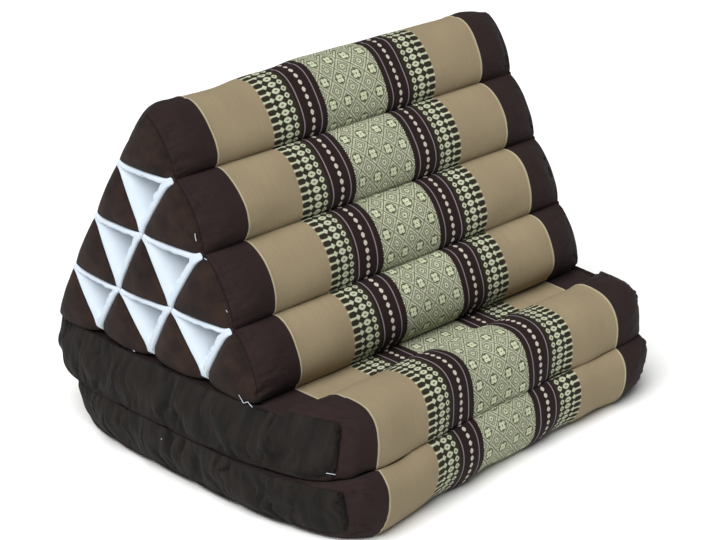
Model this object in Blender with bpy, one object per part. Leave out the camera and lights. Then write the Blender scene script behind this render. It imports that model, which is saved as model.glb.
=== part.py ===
# Thai triangle cushion: a filled backrest wedge of sewn rolls, lying on two folded mats.
# Metres, +Z up. X runs along the rolls, -Y is the leaning face, Z = 0 is the floor, and the
# origin lies under the middle of the whole cushion.
import math

import bmesh
import bpy
import numpy as np

# Driving dimensions of the wedge
WEDGE_LENGTH = 0.500     # between the seams of its two ends
WEDGE_MIDDLE_Y = 0.044   # the wedge stands behind the middle of the mats
CELL_WIDTH = 0.0797      # one sewn tube at the end's base line
CELL_HEIGHT = 0.0672     # one row of tubes
ROWS = 4                 # rows of tubes from the ridge down to the base
BASE_Z = 0.1242          # height of the lowest row of seams
WEDGE_FLAT_Z = 0.1223    # underside of the wedge, pressed on the mat
ROLL_BULGE = 0.0200      # a full roll stands this far out from its chord
RIDGE_BULGE = 0.0175     # the same for the roll at the ridge
BACK_BULGE = 0.0135      # the rolls of the back are flatter
ROLL_SQUARE = 2.3        # how flat a roll's crown is
ROLL_ROUND = 0.65        # how steeply it turns down to its channels
FRONT_END_BULGE = 0.008  # what is left of the bulge where the end is sewn on
BACK_END_BULGE = 0.0010  # the same on the back, where the cloth is drawn in tighter
DRAWN_IN = 0.036         # length over which the rolls draw in towards an end
DRAWN_POWER = 2.2        # how late they do so
RIDGE_DROP = 0.0050      # the ridge comes down by this at its ends
RIGHT_LEAN = 0.0060      # the right end is this much shorter at its base than at the ridge
RIDGE_REACH = 0.0060     # how much longer it is there along the ridge
LEFT_SAG = 0.0052        # the ridge sags by this at its left end
SAG_FROM = 0.040         # from this far left of the middle
SAG_RUN = 0.120          # over this length
NOTCH_OUT = 0.0015       # a channel's thread lies this far outside the even triangle
CORNER_IN = 0.0057       # the two base corners are rounded off by this
BASE_NOTCH_UP = 0.0050   # depth of the channels under the wedge
END_CROWN = 0.0065       # the whole end swells by this in its middle
END_CROWN_POWER = 0.6    # how early that swelling starts at the rim
TUBE_PUFF = 0.0090       # a filled brown tube's end stands out by this
POCKET_DEPTH = 0.0150    # a white panel dips this far behind the seams
LIP_RISE = 0.0022        # its lip stands this far in front of them
LIP_WIDTH = 0.002        # the dip starts this far inside the seam
POCKET_WALL = 0.013      # and reaches its depth over this distance

# Driving dimensions of the mats
MAT_HALF_WIDTH = 0.2750  # middle of an end panel, from the cushion's middle
CONTACT_Z = 0.0623       # where the two mats press on each other
CONTACT_RISE = 0.0125    # that contact climbs by this at the front
CONTACT_RUN = 0.060      # and is level again this far behind the front
CHANNEL_SHARE = 0.63     # height of a sewn channel, as a share of the crown
ROLL_FULLNESS = 2.6      # how square a mat's roll is, 2 being an ellipse
END_FULLNESS = 5.5       # the same where the end panel is sewn on
END_CHANNELS = 0.25      # share of a channel's depth that is left there

# Cloth and clearances
CLOTH = 0.0015           # thickness of a white end panel
GAP = 0.0003             # clearance between pieces that touch

# Facets
ROLL_STEPS = 8           # facets across a roll of the wedge
SEAM_STEP = 0.2          # width of the facet beside a seam, as a share of the others
WEDGE_STATIONS = (0.0, 0.10, 0.18, 0.216, 0.228, 0.238, 0.245, 0.2488, 0.25)
MAT_STATIONS = (0.0, 0.40, 0.80, 0.87, 0.925, 0.965, 0.99, 1.0)

# How far the seam crossings of an end lie from the even triangle, by row and place from the
# back: shift towards the back and up.
CROSSING_SHIFT = {
    # row, place: (back, up)
    (2, 1): (0.0015, 0.0015),
    (3, 1): (0.0012, -0.0020),
    (3, 2): (0.0005, 0.0010),
    (4, 1): (0.0010, 0.0015),
    (4, 2): (-0.0022, 0.0000),
    (4, 3): (-0.0040, 0.0000),
}

# The two mats, as they lie on each other.
MATS = {
    # front and back reach, front and back edges of the end panels, heights of the rounded
    # front and back, crowns of the front roll and of those behind it, crown and squareness
    # below, seams of the end panel, its width there, and the share of that width which is
    # left at its front and back corners
    "mat_upper": dict(front=-0.2240, back=0.2390, end_front=-0.1980, end_back=0.2120,
                      nose_front=0.0920, nose_back=0.0930, crown_front=0.1385, crown=0.1300,
                      under=0.0520, under_power=2.6, seam_top=0.1270, seam_low=0.0655,
                      top_width=0.960, low_width=1.000,
                      left_corners=(0.868, 0.895), right_corners=(0.985, 0.930)),
    "mat_lower": dict(front=-0.2390, back=0.1990, end_front=-0.2120, end_back=0.1720,
                      nose_front=0.0380, nose_back=0.0330, crown_front=0.0780, crown=0.0700,
                      under=-0.0040, under_power=2.3, seam_top=0.0620, seam_low=0.0080,
                      top_width=1.000, low_width=0.955,
                      left_corners=(0.880, 0.930), right_corners=(0.975, 0.920)),
}
MAT_ROLLS = 6
FRONT_CLEAR = 0.030      # the upper mat rises freely from here in front of the wedge
BACK_CLEAR = 0.008       # and from here behind it
FREE_SLOPE = 4           # how steeply it may rise in front of the wedge
SWAY = 0.0185            # the mats' front lies this much further back at their right
SWAY_FROM = -0.196       # from this place along X
SWAY_WIDTH = 0.294       # and in full this far to the right of it
SWAY_RUN = 0.200         # no part this far behind the front is moved
RIGHT_SINK = 0.06        # and this share of the height is lost there
CORNER_POWERS = (3.2, 5.0)  # how late an end panel turns at its front and back corners
MAT_DRAWN_FROM = 0.80    # share of the half width from which a mat draws in to its end
MAT_DRAWN_POWER = 2.6    # how late it does so
PANEL_PUFF = 0.0040      # an end panel swells by this between its seams
PANEL_LEVELS = 3         # facets over its height

# Colours read from the cloth: base colour and roughness
COLOURS = {
    "wedge": ((0.330, 0.262, 0.165), 0.85),
    "mat_upper": ((0.330, 0.262, 0.165), 0.85),
    "mat_lower": ((0.060, 0.040, 0.036), 0.88),
    "end_panel": ((0.780, 0.830, 0.870), 0.80),
}


def grid_step(index):
    """Distance of a grid line from its seam, in full steps, with the first step narrower."""
    return 0.0 if index == 0 else index - 1 + SEAM_STEP


def bary(indices):
    """Shares of a cell's three corners at a grid point."""
    steps = np.array([grid_step(i) for i in indices])
    return steps / steps.sum()


def crossing(row, place, shifted):
    """A seam crossing (y, z) of the wedge's triangular end, row 0 being the ridge."""
    y = WEDGE_MIDDLE_Y + (row / 2 - place) * CELL_WIDTH
    z = BASE_Z + (ROWS - row) * CELL_HEIGHT
    if not shifted:
        return np.array([y, z])
    centre = np.array([WEDGE_MIDDLE_Y, BASE_Z + ROWS * CELL_HEIGHT / 3])
    back, up = CROSSING_SHIFT.get((row, place), (0.0, 0.0))
    point = np.array([y + back, z + up])
    if row == 0:
        return point
    if row == ROWS and place in (0, ROWS):
        return point + (centre - point) / np.linalg.norm(centre - point) * CORNER_IN
    if row == ROWS:
        return point + np.array([0.0, BASE_NOTCH_UP])
    if place == row:
        return point + np.array([-NOTCH_OUT, NOTCH_OUT / 2])
    if place == 0:
        return point + np.array([NOTCH_OUT, NOTCH_OUT / 2])
    return point


# The outline runs from the ridge down the front, back along the base and up the back.
RIM = [(row, row) for row in range(ROWS)]
RIM += [(ROWS, place) for place in range(ROWS, 0, -1)]
RIM += [(row, 0) for row in range(ROWS, 0, -1)]
RIM_SIDES = {frozenset((RIM[i], RIM[(i + 1) % len(RIM)])) for i in range(len(RIM))}


def outward(a, b):
    """Unit normal of the even outline's side from crossing a to crossing b."""
    run = crossing(*b, False) - crossing(*a, False)
    normal = np.array([run[1], -run[0]]) / np.linalg.norm(run)
    middle = (crossing(*a, False) + crossing(*b, False)) / 2
    centre = np.array([WEDGE_MIDDLE_Y, BASE_Z + ROWS * CELL_HEIGHT / 3])
    return normal if np.dot(normal, middle - centre) > 0 else -normal


def bulge_shape(share):
    """A full roll's rise between two channels, from 0 to 1 and back to 0."""
    return (1 - abs(2 * share - 1) ** ROLL_SQUARE) ** ROLL_ROUND


def drawn(x):
    """How much of a roll's full bulge is left at x, 1 in the middle and 0 at the end seam."""
    past = max(0.0, abs(x) - (WEDGE_LENGTH / 2 - DRAWN_IN)) / DRAWN_IN
    return max(0.0, 1 - past ** DRAWN_POWER)


def lean(side, z):
    """How much shorter the wedge is than its full half length at height z."""
    below = (BASE_Z + ROWS * CELL_HEIGHT - z) / (ROWS * CELL_HEIGHT)
    return RIGHT_LEAN * below - RIDGE_REACH * near_ridge(z) if side > 0 else 0.0


def near_ridge(z):
    """1 at the ridge's height and above, falling to 0 at the row of seams below it."""
    return min(1.0, max(0.0, 1 - (BASE_Z + ROWS * CELL_HEIGHT - z) / CELL_HEIGHT))


def sagged(x, y, z):
    """A point of the wedge, let down where its ridge sags towards the left end."""
    return (x, y, z - LEFT_SAG * smooth((-x - SAG_FROM) / SAG_RUN) * near_ridge(z))


def side_push(a, b, share, fullness):
    """How far the cloth between crossings a and b stands out from their chord."""
    at_back = a[1] == 0 and b[1] == 0
    full = RIDGE_BULGE if (0, 0) in (a, b) else BACK_BULGE if at_back else ROLL_BULGE
    left = BACK_END_BULGE if at_back else FRONT_END_BULGE
    return outward(a, b) * (left + (full - left) * fullness) * bulge_shape(share)


def ridge_drop(even, fullness):
    """How far the cloth comes down beside the ridge at an end."""
    below = (BASE_Z + ROWS * CELL_HEIGHT - even[1]) / CELL_HEIGHT
    return np.array([0.0, -RIDGE_DROP * (1 - fullness) * max(0.0, 1 - below)])


def rest_on_mat(point):
    """The underside is flat where it lies on the mat."""
    return np.array([point[0], max(point[1], WEDGE_FLAT_Z)])


def key_of(point):
    return (round(float(point[0]), 6), round(float(point[1]), 6))


def wedge_ring(x):
    """Outline points at x, each with its key on the even triangle."""
    ring = []
    for side, a in enumerate(RIM):
        b = RIM[(side + 1) % len(RIM)]
        for step in range(ROLL_STEPS):
            share = grid_step(step) / (grid_step(step) + grid_step(ROLL_STEPS - step))
            even = crossing(*a, False) * (1 - share) + crossing(*b, False) * share
            point = crossing(*a, True) * (1 - share) + crossing(*b, True) * share
            point = point + side_push(a, b, share, drawn(x)) + ridge_drop(even, drawn(x))
            ring.append((key_of(even), rest_on_mat(point)))
    return ring


def end_cells():
    """Corners of each end cell, from the ridge down, and whether it is a white one."""
    cells = []
    for row in range(ROWS):
        for place in range(row + 1):
            cells.append((((row, place), (row + 1, place), (row + 1, place + 1)), False))
        for place in range(1, row + 1):
            cells.append((((row, place - 1), (row, place), (row + 1, place)), True))
    return cells


def hump(shares):
    """A triangle's hump: 0 along its sides and 1 in its middle."""
    return max(0.0, 27 * float(np.prod(shares)))


def end_crown(even):
    """Rise of the whole end over its rim, from the place on the even triangle."""
    top, front, back = (crossing(*c, False) for c in ((0, 0), (ROWS, ROWS), (ROWS, 0)))
    matrix = np.array([[top[0], front[0], back[0]], [top[1], front[1], back[1]], [1, 1, 1]])
    shares = np.linalg.solve(matrix, np.array([even[0], even[1], 1.0]))
    return END_CROWN * hump(shares) ** END_CROWN_POWER


def smooth(value):
    value = min(1.0, max(0.0, value))
    return value * value * (3 - 2 * value)


def pocket(shares):
    """Height of a white panel's face over the seams: a lip, then a dish."""
    from_seam = min(shares) * CELL_HEIGHT
    dip = smooth((from_seam - LIP_WIDTH) / POCKET_WALL)
    return LIP_RISE - (LIP_RISE + POCKET_DEPTH) * dip


def cell_point(cell, white, indices):
    """Key, (y, z) and height over the rim at one grid point of an end cell."""
    shares = bary(indices)
    even = sum(s * crossing(*c, False) for s, c in zip(shares, cell))
    point = sum(s * crossing(*c, True) for s, c in zip(shares, cell))
    for opposite in range(3):
        a, b = (cell[i] for i in range(3) if i != opposite)
        if frozenset((a, b)) not in RIM_SIDES:
            continue
        weight = 1 - shares[opposite]
        if weight > 0:
            first = [shares[i] for i in range(3) if i != opposite]
            share = first[1] / weight
            point = point + side_push(a, b, share, 0.0) * weight ** 2
    point = point + ridge_drop(even, 0.0)
    height = end_crown(even)
    if min(indices) > 0:
        if white:
            height += pocket(shares) - CLOTH - GAP
        else:
            height += TUBE_PUFF * math.sqrt(hump(shares))
    return key_of(even), rest_on_mat(point), height


def end_x(side, height, point):
    """Place along X of a point that stands out from an end's rim by height."""
    return side * (WEDGE_LENGTH / 2 + height - lean(side, point[1]))


def grid_triangles(size):
    """Index triples of a triangular grid with size steps along a side."""
    for i in range(size):
        for j in range(size - i):
            k = size - 1 - i - j
            yield (i + 1, j, k), (i, j + 1, k), (i, j, k + 1)
            if k > 0:
                yield (i, j + 1, k), (i + 1, j, k), (i + 1, j + 1, k - 1)


def make_mesh(name, vertices, faces):
    """A smooth closed mesh with its faces pointing out."""
    mesh = bpy.data.meshes.new(name)
    build = bmesh.new()
    made = [build.verts.new(v) for v in vertices]
    for face in faces:
        build.faces.new([made[i] for i in face])
    bmesh.ops.triangulate(build, faces=build.faces[:])
    bmesh.ops.recalc_face_normals(build, faces=build.faces[:])
    build.to_mesh(mesh)
    build.free()
    mesh.shade_smooth()
    mesh.set_sharp_from_angle(angle=math.radians(50))
    return mesh


def material(name, key):
    colour, roughness = COLOURS[key]
    made = bpy.data.materials.new(name)
    made.use_nodes = True
    shader = made.node_tree.nodes["Principled BSDF"]
    shader.inputs["Base Color"].default_value = (*colour, 1.0)
    shader.inputs["Roughness"].default_value = roughness
    shader.inputs["Metallic"].default_value = 0.0
    made.diffuse_color = (*colour, 1.0)
    return made


def add_object(name, vertices, faces, key, collection, parent):
    piece = bpy.data.objects.new(name, make_mesh(name, vertices, faces))
    piece.data.materials.append(material(name, key))
    piece.parent = parent
    collection.objects.link(piece)
    return piece


def stations():
    """Places of the wedge's sections, from its left end to its right end."""
    half = list(WEDGE_STATIONS)
    return [-x for x in reversed(half[1:])] + half


def wedge_solid():
    """The filled wedge: a loft of its outlines, closed by two puffed ends."""
    vertices = []
    faces = []
    rings = []
    for x in stations():
        ring = wedge_ring(x)
        rings.append(list(range(len(vertices), len(vertices) + len(ring))))
        side = 1 if x > 0 else -1
        stretch = abs(x) / (WEDGE_LENGTH / 2)
        vertices += [(x - side * stretch * lean(side, p[1]), *p) for _, p in ring]
    for near, far in zip(rings, rings[1:]):
        for i in range(len(near)):
            j = (i + 1) % len(near)
            faces.append((near[i], near[j], far[j], far[i]))
    keys = [key for key, _ in wedge_ring(0.0)]
    for side, rim in ((-1, rings[0]), (1, rings[-1])):
        known = dict(zip(keys, rim))
        for cell, white in end_cells():
            for corners in grid_triangles(ROLL_STEPS):
                face = []
                for indices in corners:
                    key, point, height = cell_point(cell, white, indices)
                    if key not in known:
                        known[key] = len(vertices)
                        vertices.append((end_x(side, height, point), *point))
                    face.append(known[key])
                faces.append(tuple(face))
    return [sagged(*vertex) for vertex in vertices], faces


def panel_solid(cell, side):
    """One white end panel: a thin dished triangle lying in its pocket."""
    vertices = []
    faces = []
    size = ROLL_STEPS - 3
    index = {}
    for layer, lift in ((0, GAP), (1, GAP + CLOTH)):
        for i in range(size + 1):
            for j in range(size + 1 - i):
                indices = (i + 1, j + 1, size - i - j + 1)
                _, point, height = cell_point(cell, True, indices)
                index[layer, i, j] = len(vertices)
                vertices.append((end_x(side, height + lift, point), *point))
        for corners in grid_triangles(size):
            faces.append(tuple(index[layer, i, j] for i, j, _ in corners))
    rim = [(i, 0) for i in range(size)]
    rim += [(size - i, i) for i in range(size)]
    rim += [(0, size - i) for i in range(size)]
    for a, b in zip(rim, rim[1:] + rim[:1]):
        faces.append((index[(0, *a)], index[(0, *b)], index[(1, *b)], index[(1, *a)]))
    return vertices, faces


def contact_height(y):
    """Height at which the mats press on each other."""
    near = max(0.0, 1 - (y - MATS["mat_upper"]["front"]) / CONTACT_RUN)
    return CONTACT_Z + CONTACT_RISE * min(1.0, near) ** 2


def upper_limit(name, y):
    """The highest that a mat's top may reach at y."""
    if name == "mat_lower":
        return contact_height(y) - GAP / 2
    reach = ROWS / 2 * CELL_WIDTH
    before = max(0.0, WEDGE_MIDDLE_Y - reach - FRONT_CLEAR - y)
    behind = max(0.0, y - WEDGE_MIDDLE_Y - reach - BACK_CLEAR)
    return WEDGE_FLAT_Z - GAP + FREE_SLOPE * before + behind


def lower_limit(name, y):
    """The lowest that a mat's underside may reach at y."""
    return 0.0 if name == "mat_lower" else contact_height(y) + GAP / 2


def mat_columns():
    """Places across a mat: roll number and share of the roll from its front."""
    inner = (0.0, 0.07, 0.26, 0.50, 0.74, 0.93)
    nose = (0.0, 0.012, 0.055, 0.14, 0.30, 0.52, 0.76, 0.93)
    columns = [(0, share) for share in nose]
    for roll in range(1, MAT_ROLLS - 1):
        columns += [(roll, share) for share in inner]
    columns += [(MAT_ROLLS - 1, 1 - share) for share in reversed(nose)]
    columns.insert(-len(nose), (MAT_ROLLS - 1, 0.0))
    return columns


def roll_rise(roll, share, fullness, full_power):
    """Height of the cloth between the mat's middle and its crown, from 0 to 1."""
    power = END_FULLNESS + (full_power - END_FULLNESS) * fullness
    notch = (1 - CHANNEL_SHARE ** power) ** (1 / power)
    across = 2 * share - 1
    nose = (roll == 0 and across < 0) or (roll == MAT_ROLLS - 1 and across > 0)
    across = abs(across) * (1.0 if nose else notch)
    rise = max(0.0, 1 - across ** power) ** (1 / power)
    depth = END_CHANNELS + (1 - END_CHANNELS) * fullness
    return rise if nose else 1 - (1 - rise) * depth


def mat_column(name, roll, share, fullness):
    """Place y of a column, and the heights of the mat's top and underside there."""
    mat = MATS[name]
    front = mat["end_front"] + (mat["front"] - mat["end_front"]) * fullness
    back = mat["end_back"] + (mat["back"] - mat["end_back"]) * fullness
    y = front + (back - front) * (roll + share) / MAT_ROLLS
    along = (roll + share) / MAT_ROLLS
    nose = mat["nose_front"] + (mat["nose_back"] - mat["nose_front"]) * along
    crown = mat["crown_front"] if roll == 0 else mat["crown"]
    top = mat["seam_top"] + (crown - mat["seam_top"]) * fullness
    low = mat["seam_low"] + (mat["under"] - mat["seam_low"]) * fullness
    rise = roll_rise(roll, share, fullness, ROLL_FULLNESS)
    sink = roll_rise(roll, share, fullness, mat["under_power"])
    if fullness == 0.0 and 0 < along < 1:
        rise = sink = 1.0
    high = min(nose + (top - nose) * rise, upper_limit(name, y))
    deep = max(nose + (low - nose) * sink, lower_limit(name, y))
    return y, high, deep


def mat_fullness(station):
    """How much of a mat's fullness is left at a share of its half width."""
    past = max(0.0, station - MAT_DRAWN_FROM) / (1 - MAT_DRAWN_FROM)
    return math.sqrt(max(0.0, 1 - past ** MAT_DRAWN_POWER))


def end_reach(name, side, y, z):
    """Distance of the end panel's seam from the cushion's middle at a place (y, z)."""
    mat = MATS[name]
    middle = (mat["end_front"] + mat["end_back"]) / 2
    half = (mat["end_back"] - mat["end_front"]) / 2
    across = (y - middle) / half
    front, back = mat["left_corners"] if side < 0 else mat["right_corners"]
    corner, power = (front, CORNER_POWERS[0]) if across < 0 else (back, CORNER_POWERS[1])
    turned = 1 - (1 - corner) * min(1.0, abs(across)) ** power
    share = min(1.0, max(0.0, (z - mat["seam_low"]) / (mat["seam_top"] - mat["seam_low"])))
    width = mat["low_width"] + (mat["top_width"] - mat["low_width"]) * share
    return (MAT_HALF_WIDTH - PANEL_PUFF) * turned * width


def swayed(x, y, z):
    """A point of a mat, moved back and down where its front turns away at the right."""
    turn = min(1.0, max(0.0, (x - SWAY_FROM) / SWAY_WIDTH))
    near = min(1.0, max(0.0, 1 - (y - MATS["mat_lower"]["front"]) / SWAY_RUN))
    return (x, y + SWAY * math.sin(math.pi / 2 * turn) * near, z * (1 - RIGHT_SINK * turn * near))


def mat_solid(name):
    """A filled mat: a loft of its rolled outlines, closed by two end panels."""
    vertices = []
    faces = []
    rings = []
    columns = mat_columns()
    places = [-s for s in reversed(MAT_STATIONS[1:])] + list(MAT_STATIONS)
    for place in places:
        fullness = mat_fullness(abs(place))
        side = -1 if place < 0 else 1
        points = [mat_column(name, roll, share, fullness) for roll, share in columns]
        outline = [(y, high) for y, high, _ in points]
        outline += [(y, deep) for y, _, deep in reversed(points[1:-1])]
        rings.append(list(range(len(vertices), len(vertices) + len(outline))))
        vertices += [(place * end_reach(name, side, y, z), y, z) for y, z in outline]
    for near, far in zip(rings, rings[1:]):
        for i in range(len(near)):
            j = (i + 1) % len(near)
            faces.append((near[i], near[j], far[j], far[i]))
    for side, rim in ((-1, rings[0]), (1, rings[-1])):
        faces += end_panel_faces(vertices, rim, len(columns), side)
    return [swayed(*vertex) for vertex in vertices], faces


def end_panel_faces(vertices, rim, count, side):
    """Faces over a mat's end, swollen a little between the top and the bottom seam."""
    tops = rim[:count]
    lows = [rim[0]] + list(reversed(rim[count:])) + [rim[count - 1]]
    columns = []
    for top, low in zip(tops, lows):
        if top == low:
            columns.append([top] * (PANEL_LEVELS + 1))
            continue
        high, deep = np.array(vertices[top]), np.array(vertices[low])
        column = [top]
        for level in range(1, PANEL_LEVELS):
            share = level / PANEL_LEVELS
            point = high + (deep - high) * share
            point[0] += side * PANEL_PUFF * math.sin(math.pi * share)
            column.append(len(vertices))
            vertices.append(tuple(point))
        columns.append(column + [low])
    faces = []
    for near, far in zip(columns, columns[1:]):
        for level in range(PANEL_LEVELS):
            corners = [near[level], near[level + 1], far[level + 1], far[level]]
            faces.append(tuple(dict.fromkeys(corners)))
    return [face for face in faces if len(face) > 2]


def main():
    for old in list(bpy.data.objects):
        bpy.data.objects.remove(old, do_unlink=True)
    collection = bpy.data.collections.new("thai_triangle_cushion")
    bpy.context.scene.collection.children.link(collection)
    root = bpy.data.objects.new("cushion_root", None)
    collection.objects.link(root)
    add_object("wedge", *wedge_solid(), "wedge", collection, root)
    for name in MATS:
        add_object(name, *mat_solid(name), name, collection, root)
    whites = [cell for cell, white in end_cells() if white]
    for side, word in ((-1, "left"), (1, "right")):
        for number, cell in enumerate(whites, start=1):
            solid = panel_solid(cell, side)
            add_object(f"end_panel_{word}_{number}", *solid, "end_panel", collection, root)


main()
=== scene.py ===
# Looks of the Thai triangle cushion: woven covers, dished end panels, seams and thread ends.
# Laid out as a Blender add-on and run as a script. Metres, +Z up, in the packed model's frame.
import functools
import math

import bpy
import numpy as np
from bpy.props import FloatProperty, FloatVectorProperty, IntProperty, PointerProperty
from mathutils import Euler, Matrix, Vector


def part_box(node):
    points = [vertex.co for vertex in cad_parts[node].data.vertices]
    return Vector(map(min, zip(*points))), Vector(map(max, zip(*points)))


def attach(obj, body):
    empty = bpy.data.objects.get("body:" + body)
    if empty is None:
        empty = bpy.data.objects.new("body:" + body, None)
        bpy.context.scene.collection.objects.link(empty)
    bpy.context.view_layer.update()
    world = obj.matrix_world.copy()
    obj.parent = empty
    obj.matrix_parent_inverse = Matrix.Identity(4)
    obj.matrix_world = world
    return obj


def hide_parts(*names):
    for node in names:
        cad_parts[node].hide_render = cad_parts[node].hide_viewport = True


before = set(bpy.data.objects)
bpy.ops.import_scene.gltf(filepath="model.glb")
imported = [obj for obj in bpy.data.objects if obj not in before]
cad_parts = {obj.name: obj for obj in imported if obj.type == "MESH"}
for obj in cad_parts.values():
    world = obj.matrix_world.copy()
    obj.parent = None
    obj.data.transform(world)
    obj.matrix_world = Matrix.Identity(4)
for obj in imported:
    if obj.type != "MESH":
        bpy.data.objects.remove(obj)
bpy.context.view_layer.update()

bl_info = {
    "name": "Thai Triangle Cushion",
    "version": (1, 0, 0),
    "blender": (4, 5, 0),
    "location": "3D View > Sidebar > Cushion",
    "description": "Covers, end panels, seams and threads of a triangular floor cushion",
    "category": "Add Mesh",
}

BODY = "root"
COORDS = "cloth"         # each piece's flat cloth, in metres from the middle of its width
DISH_SHADE = "depth"          # painted shade on a white panel: 0 on its lips, 1 down in its dish, up to 2 in its top-front corner

# The wedge, as it is cut and sewn
HALF_LENGTH = 0.250      # from its middle to the seam of an end
WEDGE_MIDDLE_Y = 0.044
CELL_WIDTH = 0.0797      # one sewn tube at the end's base line
CELL_HEIGHT = 0.0672     # one row of tubes
ROWS = 4
BASE_Z = 0.1242          # height of the lowest row of seams
RIDGE_Z = BASE_Z + ROWS * CELL_HEIGHT
WEDGE_FLAT_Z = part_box("wedge")[0].z
ROLL_BULGE = 0.0200      # how far a roll stands out, and one beside the ridge or at the back
RIDGE_BULGE = 0.0175
BACK_BULGE = 0.0135
ROLL_SQUARE = 2.3        # how square a roll is in its middle and how round at its channels
ROLL_ROUND = 0.65
FRONT_END_BULGE = 0.008  # how far it still stands out at an end
BACK_END_BULGE = 0.0010
DRAWN_IN = 0.036         # length over which the rolls draw in towards an end
DRAWN_POWER = 2.2
RIDGE_DROP = 0.0050      # how far the cloth comes down beside the ridge at an end
RIGHT_LEAN = 0.0060      # how much shorter the right end is at its base
RIDGE_REACH = 0.0060     # how much further out it is at the ridge
LEFT_SAG = 0.0052        # sag of the ridge at the left end, where it starts and over what run
SAG_FROM = 0.040
SAG_RUN = 0.120
NOTCH_OUT = 0.0015       # shifts of the rim's seams: outwards, corners inwards, base upwards
CORNER_IN = 0.0057
BASE_NOTCH_UP = 0.0050
END_CROWN = 0.0065       # rise of a whole end over its rim
END_CROWN_POWER = 0.6
TUBE_PUFF = 0.0090       # rise of a brown cell over its seams
CENTRE = np.array([WEDGE_MIDDLE_Y, BASE_Z + ROWS * CELL_HEIGHT / 3])
WHITE_CLEAR = 0.0012     # room behind a white panel, and beside its seams
WHITE_SLOPE = 0.008      # width of the slope down to that room
CELL_FOLD = 0.0007       # height of the folds in a brown cell's corners
CELL_DENT = 0.0006       # depth of its shallow dents, and how far apart they lie
CELL_DENT_SIZE = 0.034

# How far the seam crossings of an end lie from the even triangle, by row and place from the
# back: shift towards the back and up.
CROSSING_SHIFT = {
    # row, place: (back, up)
    (2, 1): (0.0015, 0.0015),
    (3, 1): (0.0012, -0.0020),
    (3, 2): (0.0005, 0.0010),
    (4, 1): (0.0010, 0.0015),
    (4, 2): (-0.0022, 0.0000),
    (4, 3): (-0.0040, 0.0000),
}

# The mats, as they lie on each other
MAT_HALF_WIDTH = 0.2750
CONTACT_Z = 0.0623       # where the mats press on each other, and how that rises to the front
CONTACT_RISE = 0.0125
CONTACT_RUN = 0.060
CHANNEL_SHARE = 0.63     # height at a channel, as a share of that at a roll's crown
ROLL_FULLNESS = 2.6      # squareness of the rolls in the middle and at the left and right end
END_FULLNESS = {-1: 8.0, 1: 4.5}
UNDER_SQUARE = 3.4       # most squareness that the underside has at an end
END_CHANNELS = 0.25      # share of the channels' depth that is left at an end
MATS = {
    # front and back reach, front and back edges of the end panels, heights of the rounded
    # front and back, crowns of the front roll and of those behind it, crown and squareness
    # below, seams of the end panel, its width there, and the share of that width which is
    # left at its front and back corners
    "mat_upper": dict(front=-0.2240, back=0.2390, end_front=-0.1980, end_back=0.2120,
                      nose_front=0.0920, nose_back=0.0930, crown_front=0.1385, crown=0.1300,
                      under=0.0520, under_power=2.6, seam_top=0.1270, seam_low=0.0655,
                      top_width=0.960, low_width=1.000,
                      left_corners=(0.868, 0.895), right_corners=(0.985, 0.930)),
    "mat_lower": dict(front=-0.2390, back=0.1990, end_front=-0.2120, end_back=0.1720,
                      nose_front=0.0420, nose_back=0.0330, crown_front=0.0780, crown=0.0700,
                      under=-0.0040, under_power=1.9, seam_top=0.0620, seam_low=0.0080,
                      top_width=1.000, low_width=0.955,
                      left_corners=(0.880, 0.930), right_corners=(0.975, 0.920)),
}
MAT_ROLLS = 6
NOSE_TO_SEAM = 0.04      # how far the rounded front and back count as lying from a channel
MAT_ROLL_WIDTH = 0.078
FRONT_CLEAR = 0.030      # how far past the wedge's base the upper mat still lies level
BACK_CLEAR = 0.008
FREE_SLOPE = 4           # how steeply it may rise from there at the front
SWAY = 0.0185            # the mats' front lies this much further back at their right
SWAY_FROM = -0.196
SWAY_WIDTH = 0.294
SWAY_RUN = 0.200
RIGHT_SINK = 0.085       # share by which it also lies lower there
CORNER_POWERS = (3.2, 5.0)   # how square the end panels' front and back corners are
MAT_DRAWN_FROM = 0.80    # share of the half width from which a mat thins towards its end
MAT_DRAWN_POWER = 2.6
PANEL_PUFF = 0.0080      # how far a mat's end panel puffs out
CORNER_DEPTH = 0.004     # how far back a mat's rounded front corner counts as its seam
EVEN_TO = 0.205          # up to here the mat's sections are flat and level across
GAP = 0.0003             # clearance between pieces that touch
MAT_SEEDS = {"mat_upper": 100, "mat_lower": 200}

# The covers' cloth: size of its swells, how far from a channel and from an end seam they
# start, spacing and reach of the puckers beside a channel, and the same of end gathers
SWELL_SIZE = 0.085
SWELL_FROM_CHANNEL = 0.02
SWELL_FROM_END = 0.03
PUCKERS = (0.016, 0.016)
WEDGE_GATHERS = (0.010, 0.024)
MAT_GATHERS = (0.016, 0.026)
MAT_GATHERED = 1.3       # how much deeper a mat gathers than the wedge
TOP_FOLDS = (0.014, 0.030)
LOW_FOLDS = (0.015, 0.026)
SLACK = (0.35, 0.055)    # unevenness of a mat's end panel and the size of its swells
WEDGE_WELT = (0.0004, 0.0030, 0.0020)    # rise beside an end seam, how far off, half width
WEDGE_GROOVE = (0.0010, 0.0014)          # depth of the end seam itself and its half width
MAT_WELT = (0.0012, 0.0020)
LIFT_FADE = 0.004        # run over which lifts fade out at the wedge's flat base, and folds
                         # at a mat's end seam

# The white panels: unevenness of the lips and over what length, their rounding, their pleats,
# and distances of the rings of points from the edge
LIP_WOBBLE = (0.16, 0.015)
LIP_ROUND = 0.0030
PLEAT = 0.0006
DISH_RINGS = ((0, 0.009, 13), (0.0105, 0.0205, 8))
PANEL_SEED = 300

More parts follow.
